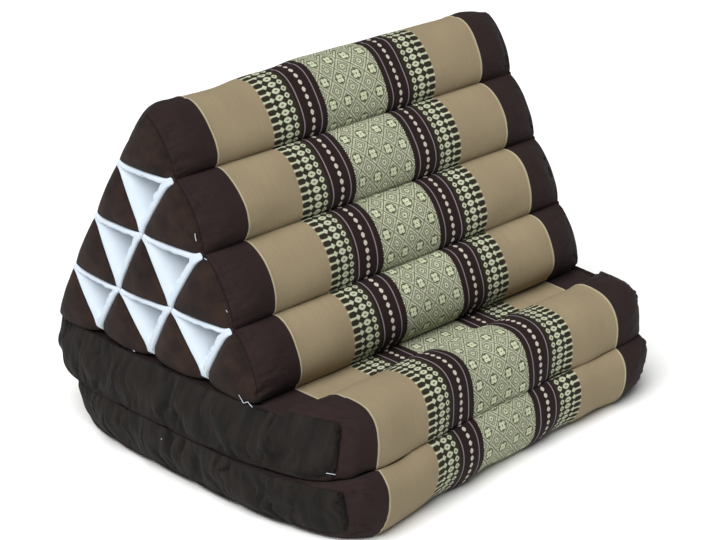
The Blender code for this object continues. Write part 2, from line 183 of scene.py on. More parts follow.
# Threads and rolled seams
SEAM_RADIUS = 0.0021
SEAM_KNOT_RADIUS = 0.0032
SEAM_OUT = 0.0028        # how far a corner seam stands out from the end seam it covers
SEAM_FORWARD = 0.0016
SEAM_RIPPLE = ((0.0005, 0.012), (0.0006, 0.010))     # how far it wanders, and over what length
THREAD_RADIUS = 0.00035
END_KNOT = 0.0026        # half width of a white knot, and of a brown one at the rim
RIM_KNOT = 0.0030

# Crossings inside an end, which white knots close
INNER_CROSSINGS = ((2, 1), (3, 1), (3, 2))
# Loose ends of white thread, each by a few points it runs through
LOOSE_THREADS = (
    ((-0.2583, -0.0938, 0.1316), (-0.2562, -0.0952, 0.1262), (-0.2566, -0.0985, 0.1236),
     (-0.2548, -0.1026, 0.1262), (-0.2550, -0.1060, 0.1240), (-0.2550, -0.1095, 0.1226)),
    ((-0.2392, -0.1948, 0.0768), (-0.2366, -0.1985, 0.0764), (-0.2340, -0.2022, 0.0760)),
    ((-0.2544, -0.0312, 0.2818), (-0.2551, -0.0322, 0.2780), (-0.2548, -0.0334, 0.2744)),
    ((-0.2512, -0.0400, 0.2576), (-0.2506, -0.0432, 0.2562)),
    ((-0.2528, -0.0716, 0.2130), (-0.2520, -0.0730, 0.2108)),
    ((-0.2567, 0.0684, 0.1258), (-0.2560, 0.0664, 0.1248)),
    ((-0.2710, 0.0116, 0.0502), (-0.2710, 0.0102, 0.0498)),
)

# Fineness of the meshes
ROLL_STEPS = 24          # facets across a roll of the wedge
SEAM_CROWDING = 1.3      # how much closer together they lie beside a seam
MAT_ROLL_STEPS = 28
NOSE_STEPS = 15
DRAWN_STEPS = 18
PANEL_LEVELS = 28
WIDE_STEP = 0.0042       # distance between sections from the middle to the piping
EVEN_STEP = 0.0028       # the same from the piping to the end seam
FINE_STEP = 0.0011       # the same beside the piping and the end seams
FINE_RUN = 0.006         # how far the fine sections go on beside the piping

# The weave: one stitch of the pattern across and along, and the pitch of its threads
STITCH = (0.00050, 0.00062)
WOVEN_THREAD = 0.0011
SHEEN_ROUGHNESS = 0.4
SPECULAR = 0.10

# The camera of the photograph, found from the lattice of seams on the cushion's end
CAMERA_PLACE = (-1.4358, -1.4042, 0.9939)
CAMERA_TILT = 67.4388
CAMERA_TURN = -45.6925
CAMERA_ROLL = 0.2355
CAMERA_LENS = 101.165
SENSOR_WIDTH = 36.0
KEY_PLACE = (-1.10, -0.38, 1.78)     # the one lamp shines from here towards the origin
FLOOR_REACH = 8.0


def srgb(red, green, blue):
    """A colour as it is read from a picture, 0 to 255, in linear light."""
    values = (red / 255, green / 255, blue / 255)
    return tuple(v / 12.92 if v < 0.04045 else ((v + 0.055) / 1.055) ** 2.4 for v in values)


def length(label, text, value, top=1.0):
    return FloatProperty(name=label, description=text, default=value, min=0.0, max=top,
                         subtype="DISTANCE", unit="LENGTH", precision=5)


def colour(label, text, *values):
    return FloatVectorProperty(name=label, description=text, default=srgb(*values), size=3,
                               min=0.0, max=1.0, subtype="COLOR")


def share(label, text, value, top=1.0):
    return FloatProperty(name=label, description=text, default=value, min=0.0, max=top,
                         subtype="FACTOR")


class BandSettings(bpy.types.PropertyGroup):
    """Bands of the woven cloth, as distances from the middle of its width."""

    green_edge: length("Green Edge", "Half width of the green panel", 0.0445)
    inner_line: length("Inner Line", "Place of the pale line beside the green", 0.0530)
    dots: length("Dots", "Place of the row of small lozenges", 0.0650)
    outer_line: length("Outer Line", "Place of the pale line beside the motifs", 0.0780)
    line_width: length("Line Width", "Width of the pale lines", 0.0017)
    rings: length("Rings", "Place of the small rings", 0.0882)
    eyes: length("Eyes", "Place of the large oval rings", 0.0982)
    arrows: length("Arrows", "Place of the arrow heads", 0.1082)
    motif_edge: length("Motif Edge", "Where the motifs end and the plain cloth starts", 0.1200)
    piping: length("Piping", "Place of the piped seam", 0.1960)
    row: length("Row", "Distance from one row of motifs to the next", 0.0083)
    flower_pitch: length("Flower Pitch", "Distance between flowers across the panel", 0.0228)
    flower_rows: IntProperty(name="Flower Rows", default=3, min=1, max=8,
                             description="Rows of motifs to one row of flowers")
    green: colour("Green", "Ground of the green panel", 170, 173, 149)
    flower: colour("Flower", "Flowers of the green panel", 186, 191, 161)
    olive: colour("Olive", "Dark threads of the green panel", 62, 64, 42)
    shade: colour("Shade", "Ground between the motifs", 42, 38, 30)
    dark: colour("Dark", "Ground of the patterned bands", 36, 26, 25)
    motif: colour("Motif", "Pale threads of the motifs", 178, 183, 156)
    dot: colour("Dot", "Pale threads of the small lozenges", 190, 182, 170)
    line: colour("Line", "Pale lines", 132, 121, 124)
    beige: colour("Beige", "Plain beige cloth", 144, 130, 104)
    brown: colour("Brown", "Plain brown cloth of the cover's ends", 42, 31, 31)
    pipe: colour("Pipe", "Piping between beige and brown", 160, 152, 126)


class CoverSettings(bpy.types.PropertyGroup):
    """Form of the filled covers' cloth."""

    swell: length("Swell", "How uneven the filling makes the rolls", 0.0012, 0.01)
    pucker: length("Pucker", "Depth of the puckers beside a channel", 0.0008, 0.01)
    gather: length("Gather", "Depth of the gathers beside an end seam", 0.0030, 0.01)
    fold: length("Fold", "Depth of the folds in the mats' end panels", 0.0080, 0.01)
    pipe_height: length("Pipe Height", "How far the piping stands out", 0.0009, 0.01)
    pipe_width: length("Pipe Width", "Half width of the piping", 0.0011, 0.01)
    end_colour: colour("End Colour", "Brown cotton of the wedge's ends", 40, 33, 31)
    mat_end_colour: colour("Mat End Colour", "Black cotton of the mats' ends", 34, 32, 31)
    seam_colour: colour("Seam Colour", "Rolled seams at the mats' front corners", 23, 20, 20)
    fill: share("Fill", "How firmly the pieces are stuffed", 0.9)


class PanelSettings(bpy.types.PropertyGroup):
    """White panels sewn into the ends of the wedge."""

    depth: length("Depth", "How far a panel dips behind its seams", 0.0150, 0.03)
    lip_rise: length("Lip Rise", "How far its lips stand in front of the seams", 0.0024, 0.01)
    top_lip: length("Top Lip", "Width of the lip along the top", 0.0040, 0.02)
    front_lip: length("Front Lip", "Width of the lip along the front", 0.0056, 0.02)
    back_lip: length("Back Lip", "Width of the lip along the back", 0.0014, 0.02)
    top_wall: length("Top Wall", "Width of the slope below the top lip", 0.0085, 0.05)
    front_wall: length("Front Wall", "Width of the slope behind the front lip", 0.0095, 0.05)
    back_wall: length("Back Wall", "Width of the slope that rises to the back", 0.0300, 0.05)
    cloth: length("Cloth", "Thickness of the cloth", 0.0012, 0.003)
    white: colour("White", "White cotton", 195, 204, 213)


class StageSettings(bpy.types.PropertyGroup):
    """Floor and light."""

    floor: colour("Floor", "The floor", 249, 249, 248)
    sky: FloatProperty(name="Sky", description="Strength of the light all round",
                       default=0.20, min=0.0, max=10.0)
    key: FloatProperty(name="Key", description="Strength of the lamp above the camera's left",
                       default=4.15, min=0.0, max=100.0)
    key_size: FloatProperty(name="Key Size", description="Angle over which that lamp spreads",
                            default=math.radians(50), min=0.0, max=math.pi, subtype="ANGLE")


# Noise and folds, all seeded


def smooth(value):
    value = np.clip(value, 0.0, 1.0)
    return value * value * (3 - 2 * value)


def waves(coords, size, seed, count=12):
    """A smooth pattern, mostly between -1 and 1, whose swells lie about size apart."""
    rng = np.random.default_rng(seed)
    total = 0.0
    for _ in range(count):
        way = rng.normal(size=len(coords))
        way /= np.linalg.norm(way)
        pitch = 2 * math.pi / size * rng.uniform(0.6, 1.5)
        run = sum(w * c for w, c in zip(way, coords))
        total = total + np.cos(pitch * run + rng.uniform(0, 2 * math.pi))
    return total / math.sqrt(count)


def gathers(along, away, spacing, reach, seed):
    """Depth, 0 to 1, of the short folds that a gathered seam leaves in the cloth beside it."""
    bent = along + 0.35 * spacing * waves((along, away), 3 * spacing, seed)
    valley = np.exp(-(waves((bent,), 2 * spacing, seed + 1) / 0.30) ** 2)
    strength = np.clip(0.6 + 0.5 * waves((along,), 6 * spacing, seed + 2), 0.1, 1.0)
    long = reach * (1 + 0.5 * waves((along,), 4 * spacing, seed + 3))
    return valley * strength * np.exp(-(away / np.maximum(long, reach / 3)) ** 2)


def crowded(steps):
    """Shares along a roll or edge, closer together at both of its seams."""
    i = np.arange(steps + 1.0)
    near, far = i ** SEAM_CROWDING, (steps - i) ** SEAM_CROWDING
    return near / (near + far)


def steps_between(low, high, step):
    return list(np.linspace(low, high, max(1, round((high - low) / step)) + 1)[:-1])


# Form of the wedge


def crossing(row, place, sewn):
    """A seam crossing (y, z) of the wedge's triangular end, row 0 being the ridge."""
    y = WEDGE_MIDDLE_Y + (row / 2 - place) * CELL_WIDTH
    z = BASE_Z + (ROWS - row) * CELL_HEIGHT
    if not sewn:
        return np.array([y, z])
    back, up = CROSSING_SHIFT.get((row, place), (0.0, 0.0))
    point = np.array([y + back, z + up])
    if row == 0:
        return point
    if row == ROWS and place in (0, ROWS):
        return point + (CENTRE - point) / np.linalg.norm(CENTRE - point) * CORNER_IN
    if row == ROWS:
        return point + np.array([0.0, BASE_NOTCH_UP])
    if place == row:
        return point + np.array([-NOTCH_OUT, NOTCH_OUT / 2])
    if place == 0:
        return point + np.array([NOTCH_OUT, NOTCH_OUT / 2])
    return point


# The outline runs from the ridge down the front, back along the base and up the back.
RIM = [(row, row) for row in range(ROWS)]
RIM += [(ROWS, place) for place in range(ROWS, 0, -1)]
RIM += [(row, 0) for row in range(ROWS, 0, -1)]
RIM_SIDES = {frozenset((RIM[i], RIM[(i + 1) % len(RIM)])) for i in range(len(RIM))}


def outward(a, b):
    """Unit normal of the even outline's side from crossing a to crossing b."""
    run = crossing(*b, False) - crossing(*a, False)
    normal = np.array([run[1], -run[0]]) / np.linalg.norm(run)
    middle = (crossing(*a, False) + crossing(*b, False)) / 2
    return normal if np.dot(normal, middle - CENTRE) > 0 else -normal


def bulge_shape(part):
    """A full roll's rise between two channels, from 0 to 1 and back to 0."""
    return np.clip(1 - np.abs(2 * part - 1) ** ROLL_SQUARE, 0, None) ** ROLL_ROUND


def drawn(x):
    """How much of a roll's full bulge is left at x, 1 in the middle and 0 at the end seam."""
    past = np.clip(np.abs(x) - (HALF_LENGTH - DRAWN_IN), 0, None) / DRAWN_IN
    return np.clip(1 - past ** DRAWN_POWER, 0, None)


def lean(side, z):
    """How much shorter the wedge is than its full half length at height z."""
    shorter = RIGHT_LEAN * (RIDGE_Z - z) / (ROWS * CELL_HEIGHT) - RIDGE_REACH * near_ridge(z)
    return shorter if side > 0 else 0.0 * z


def near_ridge(z):
    """1 at the ridge's height and above, falling to 0 at the row of seams below it."""
    return np.clip(1 - (RIDGE_Z - z) / CELL_HEIGHT, 0, 1)


def settle_wedge(points):
    """Keeps the wedge off the mat, and lets its ridge sag towards the left end."""
    points[:, 2] = np.maximum(points[:, 2], WEDGE_FLAT_Z)
    sag = LEFT_SAG * smooth((-points[:, 0] - SAG_FROM) / SAG_RUN)
    points[:, 2] -= sag * near_ridge(points[:, 2])


def side_push(a, b, part, fullness):
    """How far the cloth between crossings a and b stands out from their chord."""
    at_back = a[1] == 0 and b[1] == 0
    full = RIDGE_BULGE if (0, 0) in (a, b) else BACK_BULGE if at_back else ROLL_BULGE
    left = BACK_END_BULGE if at_back else FRONT_END_BULGE
    return (left + (full - left) * fullness) * bulge_shape(part)


def ridge_drop(even_z, fullness):
    """How far the cloth comes down beside the ridge at an end."""
    below = (RIDGE_Z - even_z) / CELL_HEIGHT
    return RIDGE_DROP * (1 - fullness) * np.clip(1 - below, 0, None)


def roll_points(a, b, fullness):
    """Points (y, z) of the cloth from crossing a up to b, one row for each fullness."""
    part = crowded(ROLL_STEPS)[:-1][None, :, None]
    full = fullness[:, None, None]
    even = crossing(*a, False) * (1 - part) + crossing(*b, False) * part
    point = crossing(*a, True) * (1 - part) + crossing(*b, True) * part
    point = point + outward(a, b) * side_push(a, b, part, full)
    point[..., 1:] -= ridge_drop(even[..., 1:], full)
    point[..., 1] = np.maximum(point[..., 1], WEDGE_FLAT_Z)
    return point


def key_of(point):
    return (round(float(point[0]), 5), round(float(point[1]), 5))


def end_cells():
    """Corners of each end cell, from the ridge down, and whether it is a white one."""
    cells = []
    for row in range(ROWS):
        for place in range(row + 1):
            cells.append((((row, place), (row + 1, place), (row + 1, place + 1)), False))
        for place in range(1, row + 1):
            cells.append((((row, place - 1), (row, place), (row + 1, place)), True))
    return cells


def hump(shares):
    """A triangle's hump: 0 along its sides and 1 in its middle."""
    return np.clip(27 * np.prod(shares, axis=-1), 0, None)


def end_crown(even):
    """Rise of the whole end over its rim, from places on the even triangle."""
    corners = np.array([crossing(*c, False) for c in ((0, 0), (ROWS, ROWS), (ROWS, 0))])
    matrix = np.vstack([corners.T, np.ones(3)])
    flat = np.concatenate([even, np.ones(even.shape[:-1] + (1,))], axis=-1)
    shares = flat @ np.linalg.inv(matrix).T
    return END_CROWN * hump(shares) ** END_CROWN_POWER


def end_x(side, height, z):
    """Place along X of a point that stands out from an end's rim by height."""
    return side * (HALF_LENGTH + height - lean(side, z))


def grid_triangles(size):
    """Index triples of a triangular grid with size steps along a side."""
    for i in range(size):
        for j in range(size - i):
            k = size - 1 - i - j
            yield (i + 1, j, k), (i, j + 1, k), (i, j, k + 1)
            if k > 0:
                yield (i, j + 1, k), (i + 1, j, k), (i + 1, j + 1, k - 1)


def corner_folds(shares, seed):
    """Small folds that run out of a brown cell's three corners."""
    total = 0.0
    for i in range(3):
        near = np.clip(1 - shares[i], 1e-4, None)
        across = (shares[(i + 1) % 3] - shares[(i + 2) % 3]) / near
        ripple = waves((across * np.ones(1),), 0.75, seed + i)[0]
        total += ripple * near ** 0.5 * math.exp(-(near / 0.28) ** 2)
    return total


def cell_points(cell, white, number, side, panel):
    """Grid points of an end cell: index, place on the even triangle, (y, z) and height."""
    depth = panel.depth + panel.cloth + WHITE_CLEAR
    for i in range(ROLL_STEPS + 1):
        for j in range(ROLL_STEPS + 1 - i):
            k = ROLL_STEPS - i - j
            steps = np.array([i, j, k]) ** SEAM_CROWDING
            shares = steps / steps.sum()
            even = sum(s * crossing(*c, False) for s, c in zip(shares, cell))
            point = sum(s * crossing(*c, True) for s, c in zip(shares, cell))
            for opposite in range(3):
                a, b = (cell[n] for n in range(3) if n != opposite)
                weight = 1 - shares[opposite]
                if frozenset((a, b)) in RIM_SIDES and weight > 0:
                    first = [shares[n] for n in range(3) if n != opposite]
                    push = side_push(a, b, first[1] / weight, 0.0)
                    point = point + outward(a, b) * push * weight ** 2
            point = point - np.array([0.0, ridge_drop(even[1], 0.0)])
            point[1] = max(point[1], WEDGE_FLAT_Z)
            height = float(end_crown(even))
            if min(i, j, k) > 0 and white:
                slope = float(smooth(min(shares) * CELL_HEIGHT / WHITE_SLOPE))
                height -= depth * slope + WHITE_CLEAR
            elif min(i, j, k) > 0:
                puff = math.sqrt(float(hump(shares)))
                folds = corner_folds(shares, 40 * number + side + 2)
                height += TUBE_PUFF * puff + CELL_FOLD * folds * min(1.0, 3 * puff)
                dent = waves((np.array(point[0]), np.array(point[1])), CELL_DENT_SIZE, 90 + side)
                height += CELL_DENT * float(dent) * puff
            yield (i, j, k), even, point, height


def wedge_stations(piping):
    """Places of the sections along X, closer together at the piping and the end seam."""
    before, past, near_end = piping - FINE_RUN, piping + FINE_RUN, HALF_LENGTH - 2 * FINE_RUN
    half = steps_between(0.0, before, WIDE_STEP)
    half += steps_between(before, past, FINE_STEP)
    half += steps_between(past, near_end, EVEN_STEP)
    half += steps_between(near_end, HALF_LENGTH, FINE_STEP) + [HALF_LENGTH]
    return np.array([-x for x in reversed(half[1:])] + half)


def girth_of(section):
    """Distance round a closed section of points, with the whole girth at its end."""
    closed = np.vstack([section, section[:1]])
    return np.concatenate([[0.0], np.cumsum(np.linalg.norm(np.diff(closed, axis=0), axis=1))])


def loft(rows, columns, along, girth):
    """Faces of a closed loft and the cloth coordinates of their corners."""
    faces = []
    coords = []
    for r in range(rows - 1):
        for c in range(columns):
            d = (c + 1) % columns
            faces.append((r * columns + c, r * columns + d,
                          (r + 1) * columns + d, (r + 1) * columns + c))
            coords += [(along[r][c], girth[c]), (along[r][d], girth[c + 1]),
                       (along[r + 1][d], girth[c + 1]), (along[r + 1][c], girth[c])]
    return faces, coords


def cloth_lift(cover, bands, x, round_it, to_seam, to_end, seed, pucker_seed):
    """Rise of a cover's cloth over its plain form: swells, puckers and the piping."""
    lift = cover.swell * waves((x, round_it), SWELL_SIZE, seed)
    lift *= smooth(to_seam / SWELL_FROM_CHANNEL) * smooth(to_end / SWELL_FROM_END)
    stiff = 0.35 + 0.65 * smooth((np.abs(x) - bands.green_edge) / 0.05)
    lift -= cover.pucker * stiff * gathers(x, to_seam, *PUCKERS, pucker_seed)
    off_pipe = (np.abs(x) - bands.piping) / cover.pipe_width
    return lift + cover.pipe_height * np.exp(-off_pipe ** 2)


def wedge_form(cover, bands, panel):
    """The wedge's cover: vertices, faces, coordinates, lifts and how many faces are woven."""
    places = wedge_stations(bands.piping)
    fullness = drawn(places)
    sides = [(a, RIM[(i + 1) % len(RIM)]) for i, a in enumerate(RIM)]
    section = np.concatenate([roll_points(a, b, fullness) for a, b in sides], axis=1)
    rows, columns = section.shape[:2]
    stretch = np.abs(places) / HALF_LENGTH
    leans = np.where(places[:, None] > 0, lean(1, section[..., 1]) * stretch[:, None], 0.0)
    x = places[:, None] - leans
    vertices = np.concatenate([x[..., None], section], axis=2).reshape(-1, 3)
    girth = girth_of(section[rows // 2])
    along = np.repeat(places[:, None], columns, axis=1)
    faces, coords = loft(rows, columns, along, girth)

    round_it = np.repeat(girth[None, :-1], rows, axis=0)
    starts = girth[:-1:ROLL_STEPS]
    ends = np.append(starts[1:], girth[-1])
    roll = np.arange(columns) // ROLL_STEPS
    to_seam = np.minimum(girth[:-1] - starts[roll], ends[roll] - girth[:-1])[None, :]
    to_end = HALF_LENGTH - np.abs(along)
    lift = cloth_lift(cover, bands, along, round_it, to_seam, to_end, 11, 21)
    lift -= cover.gather * gathers(round_it, to_end, *WEDGE_GATHERS, 31) * smooth(to_seam / 0.01)
    rise, off, wide = WEDGE_WELT
    lift += rise * np.exp(-((to_end - off) / wide) ** 2)
    deep, wide = WEDGE_GROOVE
    lift -= deep * np.exp(-(to_end / wide) ** 2)
    lift *= smooth((section[..., 1] - WEDGE_FLAT_Z) / LIFT_FADE)
    lifts = list(lift.reshape(-1))

    vertices = [tuple(v) for v in vertices]
    woven = len(faces)
    even_ring = [np.concatenate([crossing(*a, False) * (1 - part) + crossing(*b, False) * part
                                 for part in crowded(ROLL_STEPS)[:-1, None]]).reshape(-1, 2)
                 for a, b in sides]
    keys = [key_of(p) for p in np.concatenate(even_ring)]
    for side, first in ((-1, 0), (1, (rows - 1) * columns)):
        known = {key: first + i for i, key in enumerate(keys)}
        for number, (cell, white) in enumerate(end_cells()):
            grid = {}
            for index, even, point, height in cell_points(cell, white, number, side, panel):
                key = key_of(even)
                if key not in known:
                    known[key] = len(vertices)
                    vertices.append((end_x(side, height, point[1]), *point))
                    lifts.append(0.0)
                grid[index] = known[key]
            for corners in grid_triangles(ROLL_STEPS):
                face = tuple(grid[c] for c in corners)
                faces.append(face)
                coords += [vertices[v][1:] for v in face]
    return np.array(vertices), faces, coords, np.array(lifts), woven


# Form of the mats


def contact_height(y):
    """Height at which the mats press on each other."""
    near = np.clip(1 - (y - MATS["mat_upper"]["front"]) / CONTACT_RUN, 0, 1)
    return CONTACT_Z + CONTACT_RISE * near ** 2


def upper_limit(name, y):
    """The highest that a mat's top may reach at y."""
    if name == "mat_lower":
        return contact_height(y) - GAP / 2
    reach = ROWS / 2 * CELL_WIDTH
    before = np.clip(WEDGE_MIDDLE_Y - reach - FRONT_CLEAR - y, 0, None)
    behind = np.clip(y - WEDGE_MIDDLE_Y - reach - BACK_CLEAR, 0, None)
    return WEDGE_FLAT_Z - GAP + FREE_SLOPE * before + behind


def lower_limit(name, y):
    """The lowest that a mat's underside may reach at y."""
    return 0.0 * y if name == "mat_lower" else contact_height(y) + GAP / 2


def mat_columns():
    """Places across a mat: roll number and share of the roll, from front to back."""
    nose = list((1 - np.cos(np.linspace(0, math.pi / 2, NOSE_STEPS + 1))) / 2)
    inner = list(crowded(MAT_ROLL_STEPS))
    half = inner[MAT_ROLL_STEPS // 2 + 1:-1]
    columns = [(0, part) for part in nose + half]
    for roll in range(1, MAT_ROLLS - 1):
        columns += [(roll, part) for part in inner[:-1]]
    columns += [(MAT_ROLLS - 1, 1 - part) for part in reversed(nose + half + [1.0])]
    return np.array([c[0] for c in columns]), np.array([c[1] for c in columns])


def roll_rise(roll, part, fullness, full_power, end_power):
    """Height of the cloth between the mat's middle and its crown, from 0 to 1."""
    power = end_power + (full_power - end_power) * fullness
    notch = (1 - CHANNEL_SHARE ** power) ** (1 / power)
    across = 2 * part - 1
    nose = ((roll == 0) & (across < 0)) | ((roll == MAT_ROLLS - 1) & (across > 0))
    across = np.abs(across) * np.where(nose, 1.0, notch)
    rise = np.clip(1 - across ** power, 0, None) ** (1 / power)
    depth = (END_CHANNELS + (1 - END_CHANNELS) * fullness) * smooth(fullness / 0.2)
    return np.where(nose, rise, 1 - (1 - rise) * depth)


def mat_section(name, side, roll, part, fullness):
    """Places y of the columns, and the heights of the mat's top and underside there."""
    mat = MATS[name]
    along = (roll + part) / MAT_ROLLS
    front = mat["end_front"] + (mat["front"] - mat["end_front"]) * fullness
    back = mat["end_back"] + (mat["back"] - mat["end_back"]) * fullness
    y = front + (back - front) * along
    nose = mat["nose_front"] + (mat["nose_back"] - mat["nose_front"]) * along
    crown = np.where(roll == 0, mat["crown_front"], mat["crown"])
    top = mat["seam_top"] + (crown - mat["seam_top"]) * fullness
    low = mat["seam_low"] + (mat["under"] - mat["seam_low"]) * fullness
    square = END_FULLNESS[side]
    high = nose + (top - nose) * roll_rise(roll, part, fullness, ROLL_FULLNESS, square)
    square = min(square, UNDER_SQUARE)
    deep = nose + (low - nose) * roll_rise(roll, part, fullness, mat["under_power"], square)
    return y, np.minimum(high, upper_limit(name, y)), np.maximum(deep, lower_limit(name, y))


def mat_fullness(station):
    """How much of a mat's fullness is left at a share of its half width."""
    past = np.clip(station - MAT_DRAWN_FROM, 0, None) / (1 - MAT_DRAWN_FROM)
    return np.sqrt(np.clip(1 - past ** MAT_DRAWN_POWER, 0, None))


def end_reach(name, side, y, z):
    """Distance of the end panel's seam from the cushion's middle at places (y, z)."""
    mat = MATS[name]
    middle = (mat["end_front"] + mat["end_back"]) / 2
    half = (mat["end_back"] - mat["end_front"]) / 2
    across = np.clip((y - middle) / half, -1, 1)
    front, back = mat["left_corners"] if side < 0 else mat["right_corners"]
    turned = np.where(across < 0, 1 - (1 - front) * np.abs(across) ** CORNER_POWERS[0],
                      1 - (1 - back) * np.abs(across) ** CORNER_POWERS[1])
    level = np.clip((z - mat["seam_low"]) / (mat["seam_top"] - mat["seam_low"]), 0, 1)
    width = mat["low_width"] + (mat["top_width"] - mat["low_width"]) * level
    return (MAT_HALF_WIDTH - PANEL_PUFF) * turned * width


def mat_sheet(name, side, under, starts, past):
    """Top or underside of half a mat: points, and the distance of each from the end seam."""
    roll, part = mat_columns()
    reach = np.full((len(starts), len(roll)), MAT_HALF_WIDTH - PANEL_PUFF)
    for _ in range(6):
        x = starts[:, None] + (reach - EVEN_TO) * past[:, None]
        y, high, deep = mat_section(name, side, roll, part, mat_fullness(x / reach))
        z = deep if under else high
        reach = end_reach(name, side, y, z)
    return np.stack([side * x, y, z], axis=-1), reach - x


def mat_stations(piping):
    """Places of the sections from the middle out: where each starts, and its share past that."""
    starts = steps_between(0.0, piping - FINE_RUN, WIDE_STEP)
    starts += steps_between(piping - FINE_RUN, EVEN_TO, FINE_STEP)
    past = 1 - (1 - np.linspace(0, 1, DRAWN_STEPS + 1)) ** 2
    starts = np.array(starts + [EVEN_TO] * len(past))
    return starts, np.concatenate([np.zeros(len(starts) - len(past)), past])


def mat_form(name, cover, bands):
    """A mat's cover: vertices, faces, coordinates, lifts and how many faces are woven."""
    seed = MAT_SEEDS[name]
    starts, past = mat_stations(bands.piping)
    halves = []
    for side in (-1, 1):
        top, top_gap = mat_sheet(name, side, False, starts, past)
        low, low_gap = mat_sheet(name, side, True, starts, past)
        ring = np.concatenate([top[:, ::-1], low[:, 1:-1]], axis=1)
        gap = np.concatenate([top_gap[:, ::-1], low_gap[:, 1:-1]], axis=1)
        halves.append((ring, gap))
    rings = np.concatenate([halves[0][0][::-1], halves[1][0][1:]])
    to_end = np.concatenate([halves[0][1][::-1], halves[1][1][1:]])
    rows, columns = rings.shape[:2]
    girth = girth_of(rings[rows // 2, :, 1:])
    faces, coords = loft(rows, columns, rings[..., 0], girth)

    roll, part = mat_columns()
    turn = np.arange(columns)
    column = np.where(turn < len(roll), len(roll) - 1 - turn, turn - len(roll) + 1)
    part, roll = part[column], roll[column]
    nose = ((roll == 0) & (part < 0.5)) | ((roll == MAT_ROLLS - 1) & (part > 0.5))
    in_roll = np.minimum(part, 1 - part) * MAT_ROLL_WIDTH
    to_seam = np.where(nose, NOSE_TO_SEAM, in_roll)[None, :]
    x, round_it = rings[..., 0], np.repeat(girth[None, :-1], rows, axis=0)
    lift = cloth_lift(cover, bands, x, round_it, to_seam, to_end, seed, seed + 1)
    folds = gathers(round_it, to_end, *MAT_GATHERS, seed + 5) * smooth(to_end / LIFT_FADE)
    lift -= MAT_GATHERED * cover.gather * folds
    rise, wide = MAT_WELT
    lift += rise * np.exp(-(to_end / wide) ** 2)
    lifts = list(lift.reshape(-1))
    vertices = list(map(tuple, rings.reshape(-1, 3)))
    woven = len(faces)
    for side, first in ((-1, 0), (1, (rows - 1) * columns)):
        ring = list(range(first, first + columns))
        add_end_panel(vertices, faces, coords, lifts, ring, side, cover, seed + 7 + side)
    return np.array(vertices), faces, coords, np.array(lifts), woven


def add_end_panel(vertices, faces, coords, lifts, ring, side, cover, seed):
    """A mat's end panel, swollen and folded between the top and the bottom seam."""
    count = len(ring) // 2 + 1
    tops = ring[:count]
    lows = [ring[0]] + list(reversed(ring[count:])) + [ring[count - 1]]
    columns = []
    for top, low in zip(tops, lows):
        if top == low:
            columns.append([top] * (PANEL_LEVELS + 1))
            continue
        high, deep = np.array(vertices[top]), np.array(vertices[low])
        tall = np.linalg.norm(high - deep)
        levels = np.arange(1, PANEL_LEVELS) / PANEL_LEVELS
        levels = levels - 0.08 * np.sin(2 * math.pi * levels)
        points = high + (deep - high) * levels[:, None]
        y = points[:, 1]
        puff = np.sin(math.pi * levels) ** 0.8
        upper = gathers(y, levels * tall, *TOP_FOLDS, seed)
        lower = gathers(y + 0.5, (1 - levels) * tall, *LOW_FOLDS, seed + 11)
        slack = SLACK[0] * waves((y, points[:, 2]), SLACK[1], seed + 21)
        out = PANEL_PUFF * puff * (1 + slack)
        out -= cover.fold * (upper + lower) * np.minimum(1, 4 * levels * (1 - levels) + 0.15)
        points[:, 0] += side * out
        column = [top]
        for point in points:
            column.append(len(vertices))
            vertices.append(tuple(point))
            lifts.append(0.0)
        columns.append(column + [low])
    for near, far in zip(columns, columns[1:]):
        for level in range(PANEL_LEVELS):
            corners = [near[level], near[level + 1], far[level + 1], far[level]]
            face = tuple(dict.fromkeys(corners))
            if len(face) > 2:
                faces.append(face)
                coords += [vertices[v][1:] for v in face]


def settle_mat(name, points):
    """Keeps a mat off its neighbours and the floor, and turns its front away at the right."""
    y = points[:, 1].copy()
    top = np.minimum(points[:, 2], upper_limit(name, y))
    points[:, 2] = np.maximum(top, lower_limit(name, y))
    turn = np.clip((points[:, 0] - SWAY_FROM) / SWAY_WIDTH, 0, 1)
    near = np.clip(1 - (y - MATS["mat_lower"]["front"]) / SWAY_RUN, 0, 1)
    points[:, 1] += SWAY * np.sin(math.pi / 2 * turn) * near
    points[:, 2] *= 1 - RIGHT_SINK * turn * near


def corner_seam(name, form, side, seed):
    """The puckered seam down the front corner of an end panel, and the knot at its top."""
    vertices, woven = form[0], form[4]
    columns = 2 * len(mat_columns()[0]) - 2
    ring = vertices[:columns] if side < 0 else vertices[woven:woven + columns]
    edge = ring[ring[:, 1] < MATS[name]["end_front"] + CORNER_DEPTH]
    edge = edge[np.argsort(edge[:, 2])]
    heights = np.linspace(edge[0, 2], edge[-1, 2], 40)
    points = np.stack([np.interp(heights, edge[:, 2], edge[:, axis]) for axis in range(3)], axis=1)
    for _ in range(4):
        points[1:-1] = (points[:-2] + 2 * points[1:-1] + points[2:]) / 4
    settle_mat(name, points)
    (out, out_size), (forward, forward_size) = SEAM_RIPPLE
    points[:, 0] += side * (SEAM_OUT + out * waves((heights,), out_size, seed))
    points[:, 1] -= SEAM_FORWARD + forward * waves((heights,), forward_size, seed + 5)
    return [tube(points, SEAM_RADIUS, 8), tube(points[-4:], SEAM_KNOT_RADIUS, 8)]


# Form of the white end panels


def corner_width(place):
    """Half width of a white panel's blunt end at a seam crossing, and how far it stops short."""
    row, at = place
    if row == ROWS:
        return 0.0048, 0.0000
    if at == row:
        return 0.0036, 0.0000
    if at == 0:
        return 0.0030, 0.0002
    return 0.0026, 0.0011


